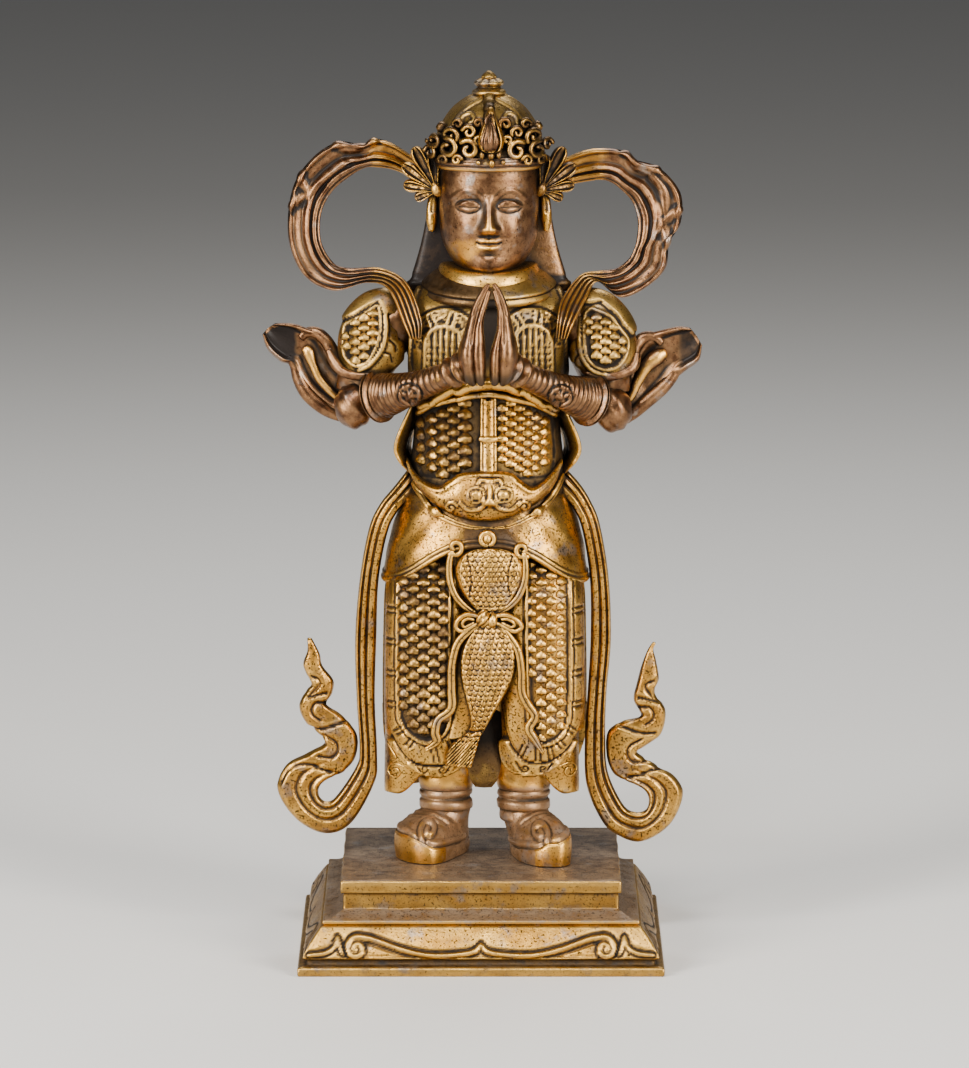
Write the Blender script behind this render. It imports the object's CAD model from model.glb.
import math

import bpy
import numpy as np
from mathutils import Matrix, Vector
from mathutils.bvhtree import BVHTree


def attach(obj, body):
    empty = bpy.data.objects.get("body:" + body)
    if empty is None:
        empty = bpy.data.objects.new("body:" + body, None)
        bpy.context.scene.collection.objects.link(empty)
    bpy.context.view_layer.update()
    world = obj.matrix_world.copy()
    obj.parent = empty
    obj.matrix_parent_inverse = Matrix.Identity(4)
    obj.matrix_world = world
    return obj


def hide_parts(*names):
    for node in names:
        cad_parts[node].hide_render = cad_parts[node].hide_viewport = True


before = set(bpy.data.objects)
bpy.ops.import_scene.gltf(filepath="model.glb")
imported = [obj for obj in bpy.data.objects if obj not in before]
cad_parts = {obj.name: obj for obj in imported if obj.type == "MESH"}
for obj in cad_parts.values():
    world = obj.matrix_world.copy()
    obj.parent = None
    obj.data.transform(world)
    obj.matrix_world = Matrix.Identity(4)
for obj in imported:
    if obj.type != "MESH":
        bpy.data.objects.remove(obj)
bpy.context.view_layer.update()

# Figure pieces are measured in millimetres from the boots' soles. The figure faces -Y.
MM = 0.001
SOLE_LEVEL = 32.3
# The figure leans a little: the x of its waist's, head's and hem's middle, and the y of its head's
BODY_X = 2.4
HEAD_X = 2.9
HEM_X = 0.3
HEAD_Y = -0.5
# Left and right are the viewer's, so left is -X
EAST, WEST = 1, -1
SIDES = ((WEST, "left"), (EAST, "right"))
# Points that are nearer than this are one point
MERGE_WITHIN = 0.004
# Looking for a piece from the front starts here, in front of all of them
FRONT_OF_ALL = -90.0

# How much of the gilding is left on each finish, unless a piece says otherwise
GILDING = {
    "worn_gilding": 1.0, "dull_gilding": 0.85, "brown_bronze": 0.12, "boot_bronze": 0.12,
    "plinth_gilding": 0.95,
}

# Pieces that are done, in the order they were made
finished = []


# Lines and readings

def spline(points, t):
    """Places on a smooth line through points, at shares t of the way along."""
    p = np.asarray(points, float)
    p = np.concatenate([[2 * p[0] - p[1]], p, [2 * p[-1] - p[-2]]])
    s = np.clip(t, 0, 1) * (len(p) - 3)
    i = np.minimum(s.astype(int), len(p) - 4)
    f = s - i
    if p.ndim > 1:
        f = f[:, None]
    a, b, c, d = p[i], p[i + 1], p[i + 2], p[i + 3]
    curve = (2 * a - 5 * b + 4 * c - d) * f ** 2 + (3 * b - a - 3 * c + d) * f ** 3
    return 0.5 * (2 * b + (c - a) * f + curve)


def smooth_line(points, count=60):
    return spline(points, np.linspace(0, 1, count))


def eased(stops, values, x):
    """Reads values at stops, with a soft turn at each of them."""
    stops, values = np.asarray(stops, float), np.asarray(values, float)
    k = np.clip(np.searchsorted(stops, x, side="right") - 1, 0, len(stops) - 2)
    f = np.clip((x - stops[k]) / (stops[k + 1] - stops[k]), 0, 1)
    f = f * f * (3 - 2 * f)
    return values[k] * (1 - f) + values[k + 1] * f


def step_up(x, low, high):
    f = np.clip((x - low) / (high - low), 0, 1)
    return f * f * (3 - 2 * f)


def power(value, exponent):
    return np.sign(value) * np.abs(value) ** exponent


def unit(rows):
    return rows / np.maximum(np.linalg.norm(rows, axis=1), 1e-9)[:, None]


def distance_to(lines, x, z, reach=6, far=99.0):
    """Distance from points to the nearest of some lines, all in one plane. Out of reach it is just far."""
    near = np.full(len(x), far)
    for line in lines:
        line = np.asarray(line, float)
        low, high = line.min(0) - reach, line.max(0) + reach
        close = np.nonzero((x > low[0]) & (x < high[0]) & (z > low[1]) & (z < high[1]))[0]
        if len(close) == 0:
            continue
        here = np.stack([x[close], z[close]], 1)[:, None, :]
        start, run = line[:-1], np.diff(line, axis=0)
        length = np.maximum((run ** 2).sum(1), 1e-9)
        share = np.clip(((here - start) * run).sum(2) / length, 0, 1)
        off = here - start - share[..., None] * run
        near[close] = np.minimum(near[close], np.sqrt((off ** 2).sum(2)).min(1))
    return near


def inside(outline, x, z):
    """True where points lie within a closed outline."""
    outline = np.asarray(outline, float)
    odd = np.zeros(len(x), bool)
    for (xa, za), (xb, zb) in zip(outline, np.roll(outline, -1, 0)):
        if za != zb:
            odd ^= ((za > z) != (zb > z)) & (x < (xb - xa) * (z - za) / (zb - za) + xa)
    return odd


def bead(distance, half, height):
    return height * np.clip(1 - (distance / half) ** 2, 0, 1) ** 0.75


def peak(value, at, half, sharp=2):
    """1 where the value is at its place, and less on both sides. A higher sharp flattens its top."""
    return np.exp(-((value - at) / half) ** sharp)


def cut(distance, half, depth):
    return -depth * np.exp(-(distance / half) ** 2)


def mound(x, z, at_x, at_z, wide, tall, height):
    return height * np.exp(-((x - at_x) / wide) ** 2 - ((z - at_z) / tall) ** 2)


def spiral(x, z, radius, turns, start, hand, tail=0, count=44, closing=0.82):
    """A scroll line from its outer end to its eye. start is an angle in degrees and hand is its way round."""
    t = np.linspace(0, 1, count)
    angle = np.radians(start) + hand * t * turns * 2 * np.pi
    r = radius * (1 - closing * t)
    line = np.stack([x + r * np.cos(angle), z + r * np.sin(angle)], 1)
    if tail:
        way = line[0] - line[1]
        line = np.concatenate([[line[0] + way / np.linalg.norm(way) * tail], line])
    return line


# Making pieces

def clear():
    bpy.ops.object.select_all(action="DESELECT")


def read(piece):
    flat = np.empty(len(piece.data.vertices) * 3)
    piece.data.vertices.foreach_get("co", flat)
    return flat.reshape(-1, 3) / MM - (0, 0, SOLE_LEVEL)


def write(piece, places):
    piece.data.vertices.foreach_set("co", ((places + (0, 0, SOLE_LEVEL)) * MM).astype(np.float32).ravel())
    piece.data.update()


def normals(piece):
    flat = np.empty(len(piece.data.vertices) * 3)
    piece.data.vertices.foreach_get("normal", flat)
    return flat.reshape(-1, 3)


def laid(name, across, along, place, closed=True):
    """A grid laid over a form. place gives millimetres for shares across and along."""
    clear()
    bpy.ops.mesh.primitive_grid_add(x_subdivisions=across, y_subdivisions=along, size=1)
    piece = bpy.context.object
    piece.name = name
    piece.data.name = name
    flat = np.empty(len(piece.data.vertices) * 3)
    piece.data.vertices.foreach_get("co", flat)
    u, v = flat[0::3] + 0.5, flat[1::3] + 0.5
    places = place(u, v)
    if closed:
        for ring in (slice(across + 1), slice(-across - 1, None)):
            places[ring] = places[ring].mean(0)
    write(piece, places)
    if closed:
        bpy.ops.object.mode_set(mode="EDIT")
        bpy.ops.mesh.select_all(action="SELECT")
        bpy.ops.mesh.remove_doubles(threshold=MERGE_WITHIN * MM)
        bpy.ops.mesh.normals_make_consistent(inside=False)
        bpy.ops.object.mode_set(mode="OBJECT")
    return piece


def shift(piece, amount):
    """Moves each vertex along its normal. amount reads x, y, z and the normals."""
    places, ways = read(piece), normals(piece)
    write(piece, places + ways * amount(places[:, 0], places[:, 1], places[:, 2], ways)[:, None])


def rod(name, points, wide, thick, face=(0, -1, 0), along=48, around=14, relief=None):
    """A rounded bar along a smooth line. Its half width and half thickness are read along it."""
    step = 0.004
    def place(u, v):
        ahead = unit(spline(points, v + step) - spline(points, v - step))
        looks = spline(face, v) if np.ndim(face) > 1 else np.tile(np.asarray(face, float), (len(v), 1))
        side = unit(np.cross(ahead, looks))
        out = np.cross(side, ahead)
        angle = 2 * np.pi * u
        w, t = spline(wide, v), spline(thick, v)
        if relief is not None:
            more = relief(angle, v)
            w, t = w + more, t + more
        return spline(points, v) + side * (w * np.cos(angle))[:, None] + out * (t * np.sin(angle))[:, None]
    return laid(name, around, along, place)


# The share of a band's grid that is its front, and the widths below which its folds fade and its body thins
FRONT_SHARE = 0.68
FOLDED_WIDTH, FULL_WIDTH = 7, 2.5


def band(name, rows, profile, thick, along, across, back=0.4, late=None, late_from=0.5):
    """A band between two edge lines. Its front has one profile of shares and lifts, and maybe a late one."""
    rows = np.asarray(rows, float)
    stops, lifts = np.asarray(profile).T
    def place(u, v):
        first, second = spline(rows[:, [0, 4, 1]], v), spline(rows[:, [2, 4, 3]], v)
        front = u < FRONT_SHARE
        share = np.where(front, u / FRONT_SHARE, (1 - u) / (1 - FRONT_SHARE))
        width = np.linalg.norm(second - first, axis=1)
        slim = np.minimum(1, width / FOLDED_WIDTH)
        body = thick / 2 * (1 - np.abs(2 * share - 1) ** 6) ** 0.5 * np.minimum(1, width / FULL_WIDTH)
        fold = eased(stops, lifts, share)
        if late is not None:
            change = step_up(v, late_from - 0.08, late_from + 0.08)
            fold = fold * (1 - change) + eased(*np.asarray(late).T, share) * change
        lift = np.where(front, -(body + slim * fold), body - back * slim * fold)
        places = first + (second - first) * share[:, None]
        places[:, 1] += lift
        return places
    return laid(name, across * 2, along, place)


def stacked(name, rows, around, along, square=1.0, lift=None, warp=0.0, edge=None):
    """Level ovals stacked from rows of z, half width, depth to the front and back, and centre x and y.
    square makes them fuller, warp crowds the grid at their front, and lift and edge move their points."""
    rows = np.asarray(rows, float)
    run = np.hypot(np.diff(rows[:, 0]), np.diff(rows[:, 1:4].max(1)))
    reach = np.concatenate([[0], np.cumsum(run)]) / run.sum()
    def place(u, v):
        share = np.interp(v, reach, np.linspace(0, 1, len(rows)))
        z, wide, front, behind, x, y = spline(rows, share).T
        turned = u + warp * np.sin(2 * np.pi * u) / (2 * np.pi)
        angle = np.pi / 2 + 2 * np.pi * turned
        across, deep = power(np.cos(angle), 1 / square), power(np.sin(angle), 1 / square)
        places = np.stack([x + wide * across, y + np.where(deep < 0, front, behind) * deep, z], 1)
        if lift is not None:
            places[:, 2] += lift(angle, v)
        return places if edge is None else edge(places, angle, v)
    return laid(name, around, along, place)


def centred(rows, x, y=0.0):
    return [[*row, x, y] for row in rows]


def round_rows(rows, x, y):
    """Rows of round rings from their z and radius."""
    return [[z, r, r, r, x, y] for z, r in rows]


def joined(name, parts):
    """One piece from several."""
    clear()
    for part in parts:
        part.select_set(True)
    bpy.context.view_layer.objects.active = parts[0]
    if len(parts) > 1:
        bpy.ops.object.join()
    parts[0].name = name
    parts[0].data.name = name
    return parts[0]


def spread(name, stud, spots):
    """Copies of one stud set on spots of place, outward way and size."""
    copies = []
    for number, (place, way, size) in enumerate(spots):
        copy = bpy.data.objects.new(f"{name}_{number}", stud.data.copy())
        turned = Vector(way).to_track_quat("Z", "Y").to_matrix().to_4x4()
        turned = turned @ Matrix.Scale(size, 4)
        turned.translation = (Vector(place) + Vector((0, 0, SOLE_LEVEL))) * MM
        copy.data.transform(turned)
        bpy.context.scene.collection.objects.link(copy)
        copies.append(copy)
    bpy.data.objects.remove(stud)
    return joined(name, copies)


def tree_of(*pieces):
    """A search tree over the faces of pieces, to set studs on them."""
    points, faces = [], []
    for piece in pieces:
        first = len(points)
        points.extend(v.co.copy() for v in piece.data.vertices)
        faces.extend(tuple(first + i for i in face.vertices) for face in piece.data.polygons)
    return BVHTree.FromPolygons(points, faces)


def seen_from_front(tree, x, z):
    """Where a line from the front meets a piece, and the way out of it there."""
    start = Vector((x, FRONT_OF_ALL, z + SOLE_LEVEL)) * MM
    place, way, _, _ = tree.ray_cast(start, Vector((0, 1, 0)))
    if place is None:
        return None
    found = place / MM - Vector((0, 0, SOLE_LEVEL))
    return found, way if way.y < 0 else -way


def mark(piece, name, values):
    """Keeps a number for each vertex."""
    layer = piece.data.attributes.get(name) or piece.data.attributes.new(name, "FLOAT", "POINT")
    layer.data.foreach_set("value", np.clip(values, 0, 1).astype(np.float32))


def marked(piece, name):
    values = np.zeros(len(piece.data.vertices))
    layer = piece.data.attributes.get(name)
    if layer is not None:
        layer.data.foreach_get("value", values)
    return values


def done(piece, finish="worn_gilding", node="figure", angle=None, relief=None, gilding=None, soot=None):
    """Gives a piece its relief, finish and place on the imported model. gilding and soot read x, y and z."""
    if relief is not None:
        shift(piece, relief)
    clear()
    piece.select_set(True)
    bpy.context.view_layer.objects.active = piece
    if angle is None:
        bpy.ops.object.shade_smooth()
    else:
        bpy.ops.object.shade_smooth_by_angle(angle=math.radians(angle))
    piece["finish"] = finish
    x, y, z = read(piece).T
    left = GILDING[finish] if gilding is None else gilding(x, y, z)
    mark(piece, "gilding", left + 0 * x)
    if soot is not None:
        mark(piece, "soot", soot(x, y, z))
    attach(piece, "root")
    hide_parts(node)
    finished.append(piece)
    return piece


# Plinth

PLINTH_PROFILE = [
    [0, 0], [33, 0], [65.3, 0], [66, 0.7], [66, 2.7], [65.3, 3.4], [63, 3.7], [62.4, 4.2], [62.4, 5.6],
    [63.6, 6.1], [64, 6.6], [63.4, 8.2], [61.4, 11.6], [59.3, 14.6], [57.75, 16.6], [56.2, 17.3],
    [56.1, 17.5], [56.8, 17.5], [57, 17.7], [57, 18.6], [56.7, 18.8], [54.6, 19.1], [52.6, 19.8],
    [50.6, 21], [49.7, 21.6], [49.5, 21.9], [49.5, 27.3], [49.7, 27.45], [50.3, 27.5], [50.5, 27.8],
    [50.5, 31.6], [50.1, 32], [38, 32], [19, 32], [0, 32],
]


# The sloped panel with the scrolls: its lowest and highest level, and a half width that all of it is beyond
PANEL_FOOT, PANEL_TOP, PANEL_HALF = 6, 16.7, 56
PLINTH_TOP = 32
# Distance between rows on the panel, on the flat top and underside, and elsewhere
PANEL_PITCH, FLAT_PITCH, PLAIN_PITCH = 0.5, 6, 1.2
COLUMNS_PER_SIDE = 160
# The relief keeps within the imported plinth, whose half width is 66
WIDEST = 65.95


def plinth():
    profile = np.asarray(PLINTH_PROFILE, float)
    rows = [profile[:1]]
    for a, b in zip(profile[:-1], profile[1:]):
        pitch = PLAIN_PITCH
        if PANEL_FOOT < (a[1] + b[1]) / 2 < PANEL_TOP and a[0] > PANEL_HALF:
            pitch = PANEL_PITCH
        elif a[1] == b[1] and a[1] in (0, PLINTH_TOP):
            pitch = FLAT_PITCH
        count = max(1, int(np.ceil(np.hypot(*(b - a)) / pitch)))
        rows.append(a + (b - a) * (np.arange(1, count + 1) / count)[:, None])
    rows = np.concatenate(rows)

    def place(u, v):
        wide, level = rows[np.rint(v * (len(rows) - 1)).astype(int)].T
        side = np.minimum((u * 4).astype(int), 3)
        share = 2 * (u * 4 - side) - 1
        one = np.ones_like(share)
        x = np.choose(side, [share, one, -share, -one]) * wide
        y = np.choose(side, [-one, share, one, -share]) * wide
        return np.stack([x, y, level - SOLE_LEVEL], 1)

    piece = laid("plinth_moulding", COLUMNS_PER_SIDE * 4, len(rows) - 1, place)
    strip = smooth_line([[0, 10.7], [2.2, 8.8], [7, 7.7], [18, 7.3], [28, 9.2], [38.6, 12.6], [43.4, 13.5]])
    curl = spiral(44.7, 9.7, 3.9, 1.35, 104, -1)
    leaf = smooth_line([[51.6, 13.4], [52.6, 10.4], [56, 8.2], [61.6, 7.5]], 24)
    vein = smooth_line([[53.4, 13], [55.4, 10.6], [58.6, 9.2]], 16)
    hook = smooth_line([[49.6, 8], [50.6, 10], [51.6, 13.4]], 12)

    def unrolled(x, y, z):
        """The way from the middle of the nearest side, and the level above the ground."""
        return np.abs(np.where(np.abs(y) >= np.abs(x), x, y)), z + SOLE_LEVEL

    def relief(x, y, z, ways):
        along, level = unrolled(x, y, z)
        on_panel = (level > 6.2) & (level < 16.6) & (np.maximum(np.abs(x), np.abs(y)) > 57)
        large = distance_to([strip, curl], along, level)
        small = distance_to([leaf, hook], along, level)
        raised = bead(large, 1.1, 0.75) + cut(large - 1.45, 0.45, 0.6) + bead(small, 0.8, 0.6)
        raised += cut(small - 1.15, 0.4, 0.5) + cut(distance_to([vein], along, level), 0.35, 0.4)
        under_strip = (level < np.interp(along, strip[:, 0], strip[:, 1]) - 0.6) & (along < 41)
        ground = np.where(under_strip, step_up(level, 6.2, 6.7) * 0.55, 0)
        wave = 0.12 * np.sin(x * 0.31 + 1.3) * np.sin(y * 0.27) * (np.abs(ways[:, 2]) < 0.5)
        # The relief is full in front, and lower on the other sides
        fullness = np.where(y < -np.abs(x) + 0.5, 1.0, np.where(y > np.abs(x), 0.45, 0.22))
        return np.where(on_panel, (raised - ground) * fullness, 0) + wave

    shift(piece, relief)
    places = read(piece)
    places[:, :2] = np.clip(places[:, :2], -WIDEST, WIDEST)
    places[:, 2] = np.clip(places[:, 2], -SOLE_LEVEL, 0)
    write(piece, places)

    def browned(x, y, z):
        """Less gold on the top, and in the recesses under and over the panel."""
        on_top = z > -0.45
        return 1 - 0.75 * on_top - 0.6 * peak(z, -12.3, 2, 4) - 0.3 * peak(z, -28, 1.4, 4)

    def beside_lines(x, y, z):
        along, level = unrolled(x, y, z)
        beside = peak(distance_to([strip, curl], along, level), 1.45, 0.5)
        beside += peak(distance_to([leaf, hook], along, level), 1.15, 0.45)
        on_lines = 0.8 * beside * (level > 6.4) * (level < 16) + 0.5 * peak(level, 5, 0.9)
        return on_lines + 0.22 * ((level > 22.5) & (level < 32)) + 0.24 * (level < 4.6)

    return done(piece, "plinth_gilding", "plinth", gilding=browned, soot=beside_lines)


# Scarf bands: each row holds one edge's x and z, the other edge's x and z, and the depth of both

LEFT_HOOP = [
    [-12, 252, -12, 246, 17.5], [-23, 254.5, -23, 247, 16], [-32, 260, -32, 250.5, 14],
    [-38.5, 262, -37.5, 251.5, 12], [-43, 260, -42, 251.5, 11], [-52, 261, -47.5, 248.5, 10],
    [-61.5, 255, -54, 243, 9.5], [-68.5, 244, -58, 235, 8.5], [-70, 226.5, -58, 225, 7],
    [-64.5, 213, -53.5, 217.5, 5], [-53.5, 207.5, -47.5, 216, 2], [-41.5, 211, -36, 216.5, -3],
    [-33.5, 209.5, -26.5, 212, -11], [-28, 198, -21.5, 200.5, -19], [-25.4, 192.5, -21.5, 192.5, -20],
]
RIGHT_HOOP = [
    [17, 252, 17, 245, 17.5], [26, 253, 26, 244, 16], [37.5, 257.5, 37.5, 246, 14],
    [45, 258.5, 43.5, 247, 12], [52.5, 257.5, 47.5, 246, 11], [56.5, 254.5, 51, 243.5, 10],
    [65, 251.5, 55, 239, 10], [72.5, 242.5, 57, 232, 9], [72.5, 231.5, 56.5, 225.5, 8],
    [68.5, 224.5, 55.5, 222, 7.5], [67, 215, 53.5, 218.5, 7], [59.5, 208, 49, 215.5, 5],
    [50.5, 205, 43, 215, 2], [42.5, 211.5, 36, 214, -3], [38, 206, 29.5, 207, -12],
    [33.5, 198, 27.5, 200.5, -19], [31, 192.5, 27, 192.5, -20],
]
LEFT_FLARE = [
    [-46, 160, -36, 175, 0], [-52, 163, -40, 177.5, -2], [-56.5, 164.5, -47, 179.5, -2],
    [-62.5, 169.5, -52.5, 184, -1], [-67, 175, -54.5, 188.5, -1], [-69, 180.5, -57.5, 193, -1],
    [-73, 182.5, -62, 194.5, -2], [-77.5, 187, -68, 196.5, -3], [-79.4, 193, -75, 196.6, -4],
]
RIGHT_FLARE = [
    [48, 158, 40, 176, 0], [53.5, 159.5, 46.5, 178.5, -2], [58, 163, 53.5, 178.5, -2],
    [63, 167.5, 55, 183.5, -1], [67.5, 171.5, 56.5, 188.5, -1], [70.5, 175.5, 59.5, 192, -1],
    [75, 179.5, 65, 194, -2], [79.2, 183, 71.5, 195.5, -3], [80.3, 189, 76, 195, -4],
]
LEFT_RIBBON = [
    [-24, 146, -17, 140, 4], [-26, 143.6, -19.6, 138, -2], [-31.5, 137, -25.4, 132.6, -6],
    [-36.8, 130.5, -30.4, 127.6, -7], [-40.8, 121.5, -34, 120, -7], [-44.2, 102.5, -37.3, 102, -4],
    [-46, 80, -38.2, 80, -1], [-45.5, 57.5, -38.8, 57.5, -1], [-44.5, 39, -38, 37, -1],
    [-46, 32, -39, 26.5, -1], [-53, 21.5, -47.5, 11.5, -1], [-56.5, 19.5, -57, 7.5, -1],
    [-59, 21, -67.5, 12.6, -1], [-59.5, 24, -74.5, 23.5, -1], [-58, 26.5, -71.6, 32.6, -1],
]
RIGHT_RIBBON = [
    [27, 147, 20, 141, 4], [29.6, 144.4, 23, 138.6, -2], [35.6, 138.4, 29, 133.8, -6],
    [40, 131.5, 33.4, 129, -7], [43.4, 122.5, 36.8, 121, -7], [46.6, 102.5, 39.7, 102, -4],
    [47.5, 80, 40, 80, -1], [46, 61, 39, 61, -1], [45.5, 44.5, 38, 44.5, -1],
    [46.5, 30.5, 38.5, 26.5, -1], [52, 18.5, 43.5, 13.5, -1], [56.5, 15.5, 49, 7.5, -1],
    [60.5, 16.5, 58.5, 4.4, -1], [61.5, 20, 69, 10.5, -1], [60.5, 23, 74, 21.5, -1],
    [58, 25, 71, 28.6, -1],
]
LEFT_FLAME = [
    [-54, 29, -63.6, 37.6, -1], [-50.5, 30.5, -57.5, 41, -1], [-46, 36, -58, 43.5, -1],
    [-45.5, 44.5, -59, 44.5, -1], [-51.5, 52, -64.5, 49.5, -1], [-56.5, 55.5, -66.5, 55.5, -1],
    [-54.5, 60, -63.5, 61, -1], [-54, 64.5, -62, 63.5, -1], [-58, 70, -65, 70, -1],
    [-59, 74.5, -63.5, 75.5, -1], [-62, 80.5, -63.5, 80.5, -1],
]
RIGHT_FLAME = [
    [53, 27.4, 63.6, 33.4, -1], [48.5, 30, 58, 37, -1], [46, 36.5, 57.5, 38.5, -1],
    [46.5, 45.5, 60, 40, -1], [52.5, 49.5, 66, 45, -1], [58.5, 51.5, 67.5, 53.5, -1],
    [56, 57.5, 63.5, 60, -1], [57.5, 65.5, 65, 65.5, -1], [59, 71, 64, 72, -1], [61, 76, 63, 76, -1],
    [63, 79, 64, 78.5, -1],
]
# How much the front of each band is lifted, at shares of its width
HOOP_FOLDS = [
    [0, 0.3], [0.07, 0.9], [0.2, -0.3], [0.42, -0.9], [0.56, 0.5], [0.64, 0.9], [0.71, -0.8],
    [0.79, 0.6], [0.87, 0.6], [0.93, -0.4], [1, 0.1],
]
HOOP_STRANDS = [
    [0, 0], [0.09, 0.8], [0.2, -0.6], [0.32, 0.8], [0.43, -0.6], [0.55, 0.8], [0.66, -0.6], [0.78, 0.8],
    [0.89, -0.5], [0.95, 0.4], [1, 0],
]
RIBBON_FOLDS = [
    [0, 0.1], [0.09, 0.8], [0.21, -0.35], [0.3, 0.45], [0.42, 0.6], [0.54, -0.35], [0.64, 0.4],
    [0.86, 0.5], [1, -0.5],
]
FLAME_FOLDS = [[0, -0.3], [0.12, 0.5], [0.5, 0.8], [0.88, 0.5], [1, -0.3]]
FLARE_FOLDS = [[0, 0.4], [0.14, 0.8], [0.3, -0.8], [0.7, -0.8], [0.86, 0.8], [1, 0.4]]
FLARE_CUP = [[0, 1.2], [0.07, 1.7], [0.2, -0.9], [0.5, -1.6], [0.8, -0.9], [0.93, 1.7], [1, 1.2]]

# Rolled folds in each flare: x, z and half width along the upper roll, the lower edge and the gilt inner fold
LEFT_FLARE_ROLLS = [
    [[-38, 178, 2.2], [-46.6, 179.6, 2.6], [-52.2, 183.6, 2.6], [-56, 189.6, 2.4], [-59.4, 192.6, 2.2],
     [-63, 192.8, 1.9], [-65.8, 190.6, 1.4]],
    [[-47, 161, 1.8], [-53.4, 163.2, 2.2], [-58, 166, 2.6], [-63, 170.4, 2.6], [-66, 175.6, 2.4],
     [-67.6, 180.8, 2], [-70.4, 184.4, 1.3]],
    [[-49, 167, 1.2], [-54, 171, 1.5], [-58.4, 176, 1.6], [-61, 181.6, 1.7], [-62.6, 185.6, 2.4],
     [-64.2, 187.6, 1.6]],
]
RIGHT_FLARE_ROLLS = [
    [[41, 177.6, 2.2], [48.8, 178.4, 2.6], [53.6, 182.8, 2.6], [56.4, 188.4, 2.4], [59.2, 191, 2.2],
     [63, 191, 1.9], [66, 188.6, 1.4]],
    [[49, 160.6, 1.8], [54.2, 162.6, 2.2], [60, 167.6, 2.6], [65.4, 172.2, 2.6], [69.4, 176.6, 2.2],
     [71.4, 180.4, 1.8], [74, 182.4, 1.3]],
    [[51, 166, 1.2], [54.4, 169.6, 1.5], [57, 175, 1.7], [60, 180.4, 2.4], [64, 184, 3],
     [67.4, 185.8, 1.6]],
]
# Lines where each hoop is pinched, and the lapped edges on the left ribbon's flame
LEFT_HOOP_PINCHES = [
    [[-69.4, 238], [-66, 240.6], [-63.2, 243], [-65.4, 247], [-66.4, 251.6]],
    [[-63.2, 243], [-58.6, 246.6], [-50, 253.4]],
    [[-54, 261.6], [-49.1, 258.8], [-46, 258.6], [-42.4, 261], [-39, 261.4]],
]
RIGHT_HOOP_PINCHES = [
    [[53, 257.6], [56.4, 252.6], [61, 250.4], [64.4, 251.6]],
    [[62.4, 248.8], [65.8, 243.6], [66.8, 235.4]],
    [[72.6, 236.4], [68.4, 234.2], [66.2, 231.6], [67, 227.6], [69, 223.6]],
]
FLAME_CRESCENTS = [
    [[-61.9, 66.2], [-59.6, 65.3], [-59.1, 63.4], [-60.8, 61.2], [-62.6, 59.2]],
    [[-63.2, 58.8], [-56.4, 60]], [[-56.6, 56.4], [-60.2, 56.4], [-61.9, 54], [-61.4, 51.8], [-59, 50]],
    [[-62.4, 46.9], [-57.5, 46.9], [-50.2, 49.4]],
    [[-57.4, 44.4], [-53.2, 41.9], [-52.6, 38.6], [-54.7, 36.2], [-59.4, 36.6]],
    [[-73.4, 27], [-71, 31.2], [-67, 33.4], [-62, 33.4], [-56.9, 31.2], [-52, 30.2]],
]


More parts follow.
